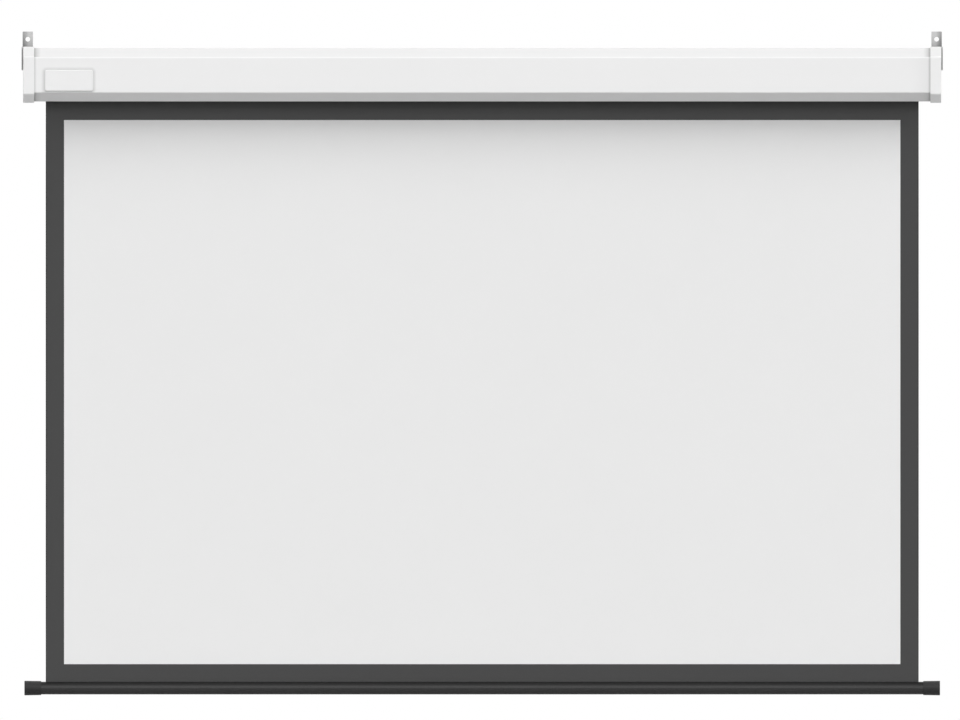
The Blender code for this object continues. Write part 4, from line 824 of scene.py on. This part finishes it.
def bracket(name, side, s):
    inner, outer = BRACKET_LOW.x, BRACKET_HIGH.x
    front, wall_face = BRACKET_LOW.y, BRACKET_HIGH.y
    bottom, top = BRACKET_LOW.z - BEYOND, BRACKET_HIGH.z + BEYOND
    fold, face = outer - s.sheet, wall_face - s.sheet
    left, right = sorted((side * (inner - BEYOND), side * outer))
    plate = block(name, (left, face, bottom), (right, wall_face, top))
    shape()
    slice_at((side * fold, 0, 0), (1, 0, 0))
    pick("FACE", lambda f: f.normal.y < -FACING and place_of(f).x * side > fold)
    extrude(0, front - BEYOND - face, 0)
    round_edges(edges_along(2, (side * outer, wall_face)), s.bend + s.sheet, 8)
    round_edges(edges_along(2, (side * fold, face)), s.bend, 6)
    done()
    cut(plate, front_outline(side, s), "INTERSECT")
    cut(plate, side_outline(side, s), "INTERSECT")
    x = side * (inner + outer - s.ear_step) / 2
    z = BRACKET_HIGH.z - s.ear_height + s.hole_above
    start, end = (x, face - 2 * MM, z), (x, wall_face + MM, z)
    cut(plate, cone("ear_hole", start, end, (s.ear_hole, s.ear_hole), 64))
    for box in BRACKET_SCREWS:
        cut(plate, seat_tool(side, outer, middle_of(*box), BRACKET_SEAT))
    blunt = {"limit_method": "ANGLE", "angle_limit": radians(40)}
    modify(plate, "BEVEL", width=SHEARED, segments=2, **blunt)
    return plate


class SCREEN_OT_brackets(Operator):
    """Builds the two folded wall brackets with their holed ears"""

    bl_idname = "screen_parts.brackets"
    bl_label = "Build wall brackets"

    def execute(self, context):
        s = context.scene.screen_ends
        cap_top, ear_outer = BRACKET_HIGH.z - s.ear_height, BRACKET_HIGH.x - s.ear_step
        finish = galvanised("hot_dipped_zinc_on_steel", s.steel, cap_top, ear_outer)
        for name, side in SIDES:
            plate = bracket(f"{name}_bracket_plate", side, s)
            finish_piece(plate, "case", "grey_painted_steel", finish, f"{name}_wall_bracket")
        return {"FINISHED"}


class SCREEN_OT_badge(Operator):
    """Builds the bare raised plate on the casing's front"""

    bl_idname = "screen_parts.badge"
    bl_label = "Build badge plate"

    def execute(self, context):
        s = context.scene.screen_badge
        front, across, up = CASING_LOW.y - s.thickness, s.width / 2, s.height / 2
        low = (s.centre_x - across, front, s.centre_z - up)
        plate = block("badge_plate", low, (s.centre_x + across, CASING_LOW.y, s.centre_z + up))
        shape()
        round_edges(lambda e: runs_along(e, 1), s.corner, 8)
        pick("FACE", lambda f: f.normal.y < -FACING)
        bpy.ops.mesh.inset(thickness=BADGE_RIM)
        bpy.ops.transform.translate(value=(0, BADGE_SUNK, 0))
        on_front = lambda e: all(at(v.co.y, front) for v in e.verts)
        by_side = lambda e: any(abs(f.normal.y) < 1 - FACING for f in e.link_faces)
        round_edges(lambda e: on_front(e) and by_side(e), s.edge, 4)
        done()
        finish = moulded("moulded_abs_badge", s.plastic, 0.42, 0.2)
        finish_piece(plate, "case", "white_abs", finish)
        return {"FINISHED"}


def cloth_sheet(name, columns, rows, point, thickness, finishes, choose=lambda u, v: 1):
    """A sheet as a solid of even thickness; its UV map is the flat cloth in metres."""
    mesh = bpy.data.meshes.new(name)
    form = bmesh.new()
    flat = form.loops.layers.uv.new("cloth")
    grid = [[form.verts.new(point(u, v)) for u in columns] for v in rows]
    for r in range(len(rows) - 1):
        for c in range(len(columns) - 1):
            corners = [(r, c), (r, c + 1), (r + 1, c + 1), (r + 1, c)]
            face = form.faces.new([grid[i][j] for i, j in corners])
            face.smooth = True
            middle = (columns[c] + columns[c + 1]) / 2, (rows[r] + rows[r + 1]) / 2
            face.material_index = choose(*middle)
            for loop, (i, j) in zip(face.loops, corners):
                loop[flat].uv = (columns[j], rows[i])
    form.to_mesh(mesh)
    form.free()
    obj = bpy.data.objects.new(name, mesh)
    bpy.context.scene.collection.objects.link(obj)
    for finish in finishes:
        mesh.materials.append(finish)
    modify(obj, "SOLIDIFY", thickness=thickness, offset=0, material_offset=2, material_offset_rim=2)
    bpy.ops.object.shade_smooth_by_angle(angle=SMOOTH_ANGLE)
    return obj


def spaced(start, end, step, *breaks):
    """Numbers from start to end, no further apart than a step, with the breaks among them."""
    marks = sorted({start, end, *breaks})
    values = [marks[0]]
    for here, there in zip(marks, marks[1:]):
        count = max(1, ceil((there - here) / step))
        values += [here + (there - here) * i / count for i in range(1, count + 1)]
    return values


def hanging_screen(s, finishes):
    half, drop = BORDER_HIGH.x, BORDER_HIGH.z - BORDER_LOW.z
    y = (BORDER_LOW.y + BORDER_HIGH.y) / 2
    view, edge = VIEW_HIGH.x, half - s.curl_width
    hidden, fade = 0.08, 0.15  # no waves in the casing; they grow and fade over this height

    def point(u, v):
        side = max(0.0, (abs(u) - edge) / s.curl_width)
        free = min(1.0, max(0.0, -(v + hidden) / fade)) * min(1.0, max(0.0, (v + drop) / fade))
        long_wave = sin(u * 9.1 + 0.6) * sin(v * 5.3)
        wave = 0.6 * (long_wave + 0.6 * sin(u * 17 - v * 7 + 1.3))
        return (u, y + s.wave * free * wave + s.curl * free * side**2, v)

    curls = [sign * (edge + s.curl_width * k / 4) for sign in (-1, 1) for k in (1, 2, 3)]
    columns = sorted({*spaced(-half, half, 0.02, -view, view, -edge, edge), *curls})
    rows = spaced(-drop, 0.0, 0.02, VIEW_HIGH.z)
    choose = lambda u, v: 0 if abs(u) < view and v < VIEW_HIGH.z else 1
    sheet = cloth_sheet("hanging_screen", columns, rows, point, s.thickness, finishes, choose)
    tie(sheet, "case", "matt_white_vinyl", "viewing_surface", "mask_border")
    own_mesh(sheet)


def hem_band(s, finishes):
    half, top, bottom = HEM_HIGH.x, BORDER_LOW.z, HEM_LOW.z
    y = (HEM_LOW.y + HEM_HIGH.y) / 2
    columns, rows = spaced(-half, half, 0.04), spaced(bottom, top, 0.006)
    point = lambda u, v: (u, y, v)
    sheet = cloth_sheet("hem_band", columns, rows, point, s.thickness, finishes)
    tie(sheet, "bar", "matt_black_vinyl", "mask_hem")


def wound_fabric(s, finishes):
    half = ROLL_HIGH.x
    axis_y, axis_z = middle_of(ROLL_LOW, ROLL_HIGH)
    outer = (ROLL_HIGH.z - ROLL_LOW.z) / 2 - s.thickness / 2
    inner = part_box("roller_tube")[1].z + 0.1 * MM + s.thickness / 2
    length = pi * (outer + inner) * TURNS

    def point(u, v):
        share = v / length
        radius, angle = outer + (inner - outer) * share, share * TURNS * tau
        return (u, axis_y + radius * cos(angle), axis_z + radius * sin(angle))

    columns, rows = spaced(-half, half, 0.04), [length * i / 90 for i in range(91)]
    sheet = cloth_sheet("wound_fabric", columns, rows, point, s.thickness, finishes)
    tie(sheet, "roller", "matt_black_vinyl", "fabric_roll")


class SCREEN_OT_fabric(Operator):
    """Builds the hanging screen, its hem and the turns on the roller"""

    bl_idname = "screen_parts.fabric"
    bl_label = "Build fabric"

    def execute(self, context):
        s = context.scene.screen_fabric
        face = coated_fabric("matt_white_coated_cloth", s.face, 0.9, 0.25)
        border = coated_fabric("matt_black_printed_border", s.border, 0.45, 0.5, BORDER_HIGH.x)
        backing = coated_fabric("black_opaque_backing", s.backing, 0.9, 0.3)
        hanging_screen(s, (face, border, backing))
        hem_band(s, (border, border, backing))
        wound_fabric(s, (border, border, backing))
        return {"FINISHED"}


def shaded_top(tree, tone, shaded_top_paint):
    """Painted shade: the bar's upward faces take a darker paint than its front and underside."""
    top = add(tree, "MapRange", (axes(tree, "Normal")["Z"], 0.3, 0.6))[0]
    return add(tree, "Mix", {0: top, 6: tone, 7: shaded_top_paint}, data_type="RGBA")[2]


class SCREEN_OT_bar(Operator):
    """Builds the round bottom bar with its keyhole channel"""

    bl_idname = "screen_parts.bar"
    bl_label = "Build bottom bar"

    def execute(self, context):
        s = context.scene.screen_bar
        points, steps = 72, 24
        y, radius = (BAR_LOW.y + BAR_HIGH.y) / 2, s.radius
        z = BAR_LOW.z + (BAR_HIGH.y - BAR_LOW.y) / 2
        bar = ring("bar_tube", (BAR_LOW.x, y, z), radius, points)
        shape()
        pick("VERT", lambda v: v.co.z > z + radius - NEAR)
        bpy.ops.mesh.delete(type="VERT")
        channel_z = z + radius - s.lip - s.channel
        mouth = radius * sin(tau / points)
        neck = sqrt(s.channel**2 - mouth**2) + channel_z
        by_mouth = lambda v: abs(abs(v.co.y - y) - mouth) < 5 * NEAR
        pick("VERT", lambda v: v.co.z > z and by_mouth(v))
        extrude(0, 0, neck - (z + radius * cos(tau / points)))
        pick("VERT", lambda v: at(v.co.z, neck) and v.co.y > y)
        sweep = tau - 2 * asin(mouth / s.channel)
        centre = (BAR_LOW.x, y, channel_z)
        bpy.ops.mesh.spin(steps=steps, angle=-sweep, center=centre, axis=(1, 0, 0))
        pick_all()
        bpy.ops.mesh.remove_doubles(threshold=2 * NEAR)
        pick_all()
        extrude(BAR_HIGH.x - BAR_LOW.x, 0, 0)
        turn_outwards()
        done()
        modify(bar, "SOLIDIFY", thickness=s.wall, offset=-1)
        # Painted shade on the bar's upward faces.
        top_shade = lambda tree, tone: shaded_top(tree, tone, s.shaded_top_paint)
        finish = painted("powder_coated_bar_black", s.paint, 0.28, 0.14, top_shade)
        finish_piece(bar, "bar", "black_powder_coat", finish, "bottom_tube")
        return {"FINISHED"}


class SCREEN_OT_bar_ends(Operator):
    """Builds the flared end caps of the bottom bar"""

    bl_idname = "screen_parts.bar_ends"
    bl_label = "Build bar ends"

    def execute(self, context):
        s = context.scene.screen_bar
        finish = moulded("moulded_abs_black", s.plastic, 0.36, 0.14)
        middle = middle_of(BAR_CAP_LOW, BAR_CAP_HIGH)
        radii = (s.cap_inner, (BAR_CAP_HIGH.z - BAR_CAP_LOW.z) / 2)
        start, end = BAR_CAP_LOW.x, BAR_CAP_HIGH.x
        bore = s.radius + BAR_CAP_ROOM
        for name, side in SIDES:
            cap = peg(f"{name}_bar_end", side, start, end, middle, radii, 64)
            shape()
            pick("FACE", faces_across(side * start))
            bpy.ops.mesh.inset(thickness=s.cap_inner - bore)
            extrude(side * (end - start - s.cap_end_wall), 0, 0)
            round_edges(edges_across(side * end), s.cap_edge, 8)
            at_mouth, centre = edges_across(side * start), Vector((side * start, *middle))
            wide = lambda e: (place_of(e) - centre).length > (s.cap_inner + bore) / 2
            round_edges(lambda e: at_mouth(e) and wide(e), BAR_CAP_RIM, 3)
            done()
            finish_piece(cap, "bar", "black_abs", finish, f"{name}_bar_cap")
        return {"FINISHED"}


class SCREEN_OT_inner_parts(Operator):
    """Gives the parts that keep their CAD shape their materials"""

    bl_idname = "screen_parts.inner_parts"
    bl_label = "Finish inner parts"

    def execute(self, context):
        ready = bpy.data.materials
        along = (0.05, 1, 1)  # stretches the pattern into lines along X
        finishes = {
            "white_powder_coat": ready["powder_coated_aluminium_white"],
            "white_abs": ready["moulded_abs_white"],
            "grey_painted_steel": ready["hot_dipped_zinc_on_steel"],
            "zinc_plated_steel": metal("zinc_plated_steel_bright", linear("#C9CACB"), 0.32),
            "mill_aluminium": metal("extruded_aluminium_mill", linear("#D3D4D6"), 0.38, along),
            "black_abs": ready["moulded_abs_black"],
            "black_powder_coat": ready["powder_coated_bar_black"],
            "natural_nylon": moulded("moulded_nylon_natural", linear("#E6E2D4"), 0.45),
            "gear_steel": metal("hobbed_gear_steel", linear("#A8A8A8"), 0.3),
            "motor_steel_and_copper": windings("laminated_steel_and_copper"),
            "matt_white_vinyl": ready["matt_white_coated_cloth"],
            "matt_black_vinyl": ready["matt_black_printed_border"],
        }
        for row in frame["record"]["subparts"]:
            for slot in frame["nodes"][row["node"]].material_slots:
                slot.material = finishes[row["material_slot"]]
        return {"FINISHED"}


def set_camera(scene, s):
    deselect()
    spot = (s.view_x, -CAMERA_AWAY, s.view_z)
    bpy.ops.object.camera_add(location=spot, rotation=(pi / 2, 0, 0))
    camera = bpy.context.object
    camera.name = "camera"
    camera.data.type = "ORTHO"
    camera.data.ortho_scale = s.view_width
    camera.data.clip_end = 100
    scene.camera = camera


def set_lights(s):
    for name, values in LAMPS.items():
        deselect()
        height, turn = getattr(s, f"{name}_height"), getattr(s, f"{name}_turn")
        aim = (pi / 2 - height, 0, turn)
        bpy.ops.object.light_add(type="SUN", location=(0, -4, 3), rotation=aim)
        lamp = bpy.context.object
        lamp.name = name
        lamp.data.energy = getattr(s, f"{name}_strength")
        lamp.data.angle = getattr(s, f"{name}_spread")
        lamp.visible_glossy = values[-1]


def seen_share(tree):
    """1 for what the camera sees, straight or in a gloss, and 0 for light on its way."""
    path = add(tree, "LightPath")
    seen = path["Is Camera Ray"]
    for other in ("Is Glossy Ray", "Is Transmission Ray"):
        seen = add(tree, "Math", (seen, path[other]), operation="MAXIMUM")[0]
    return seen


def lay_floor(s):
    """Matt painted floor: pale to the camera, with its own tone for the light it gives back."""
    low = (-FLOOR_REACH, -FLOOR_REACH, s.floor_height - 50 * MM)
    floor = block("floor", low, (FLOOR_REACH, FLOOR_REACH, s.floor_height))
    matt = {"Roughness": 0.95, "Specular IOR Level": 0.1}
    made, tree, bsdf, where = start_material("floor_matt_pale", matt)
    pale, _ = mottled(tree, where, 0.6, shade(s.floor, 0.99), shade(s.floor, 1.01))
    back = add(tree, "MapRange", (axes(tree, "Object")["Y"], -0.2, 0.2))[0]
    tone = add(tree, "Mix", {0: back, 6: s.bounce, 7: s.rear_bounce}, data_type="RGBA")[2]
    tone = add(tree, "Mix", {0: seen_share(tree), 6: tone, 7: pale}, data_type="RGBA")[2]
    tree.links.new(tone, bsdf.inputs["Base Color"])
    floor.data.materials.append(made)


def light_world(scene, s):
    """White to the camera; its light is a wide low fill all round, stronger in front."""
    scene.world = bpy.data.worlds.new("studio")
    scene.world.use_nodes = True
    tree = scene.world.node_tree
    tree.nodes.clear()
    way = axes(tree, "Generated")
    low = (way["Y"], -0.1, 0.1, s.front_fill, s.rear_fill)
    low = add(tree, "MapRange", low, interpolation_type="SMOOTHSTEP")[0]
    level = (way["Z"], 0.05, 0.35, low, s.top_fill)
    level = add(tree, "MapRange", level, interpolation_type="SMOOTHSTEP")[0]
    white = (1, 1, 1, 1)
    light = add(tree, "Background", (white, level))[0]
    shown = add(tree, "Background", (white, 1.0))[0]
    mixed = add(tree, "MixShader", (seen_share(tree), light, shown))[0]
    add(tree, "OutputWorld", {"Surface": mixed})


class SCREEN_OT_studio(Operator):
    """Sets up the floor, the lights, the background and the camera"""

    bl_idname = "screen_parts.studio"
    bl_label = "Build studio"

    def execute(self, context):
        s = context.scene.screen_studio
        set_camera(context.scene, s)
        set_lights(s)
        lay_floor(s)
        light_world(context.scene, s)
        context.scene.view_settings.view_transform = "Standard"
        return {"FINISHED"}


class SCREEN_PT_panel(Panel):
    bl_idname = "SCREEN_PT_panel"
    bl_label = "Projector Screen"
    bl_space_type = "VIEW_3D"
    bl_region_type = "UI"
    bl_category = "Screen"

    def draw(self, context):
        for name, group in SETTINGS.items():
            box = self.layout.box()
            for key in group.__annotations__:
                box.prop(getattr(context.scene, name), key)
        for operator in OPERATORS:
            self.layout.operator(operator.bl_idname)


OPERATORS = (
    SCREEN_OT_casing,
    SCREEN_OT_end_caps,
    SCREEN_OT_brackets,
    SCREEN_OT_badge,
    SCREEN_OT_fabric,
    SCREEN_OT_bar,
    SCREEN_OT_bar_ends,
    SCREEN_OT_inner_parts,
    SCREEN_OT_studio,
)
CLASSES = (*SETTINGS.values(), *OPERATORS, SCREEN_PT_panel)


def register():
    for cls in CLASSES:
        bpy.utils.register_class(cls)
    for name, group in SETTINGS.items():
        setattr(bpy.types.Scene, name, bpy.props.PointerProperty(type=group))


def unregister():
    for name in SETTINGS:
        delattr(bpy.types.Scene, name)
    for cls in reversed(CLASSES):
        bpy.utils.unregister_class(cls)


def main():
    register()
    bpy.ops.screen_parts.casing()
    bpy.ops.screen_parts.end_caps()
    bpy.ops.screen_parts.brackets()
    bpy.ops.screen_parts.badge()
    bpy.ops.screen_parts.fabric()
    bpy.ops.screen_parts.bar()
    bpy.ops.screen_parts.bar_ends()
    bpy.ops.screen_parts.inner_parts()
    bpy.ops.screen_parts.studio()


if __name__ == "__main__":
    main()
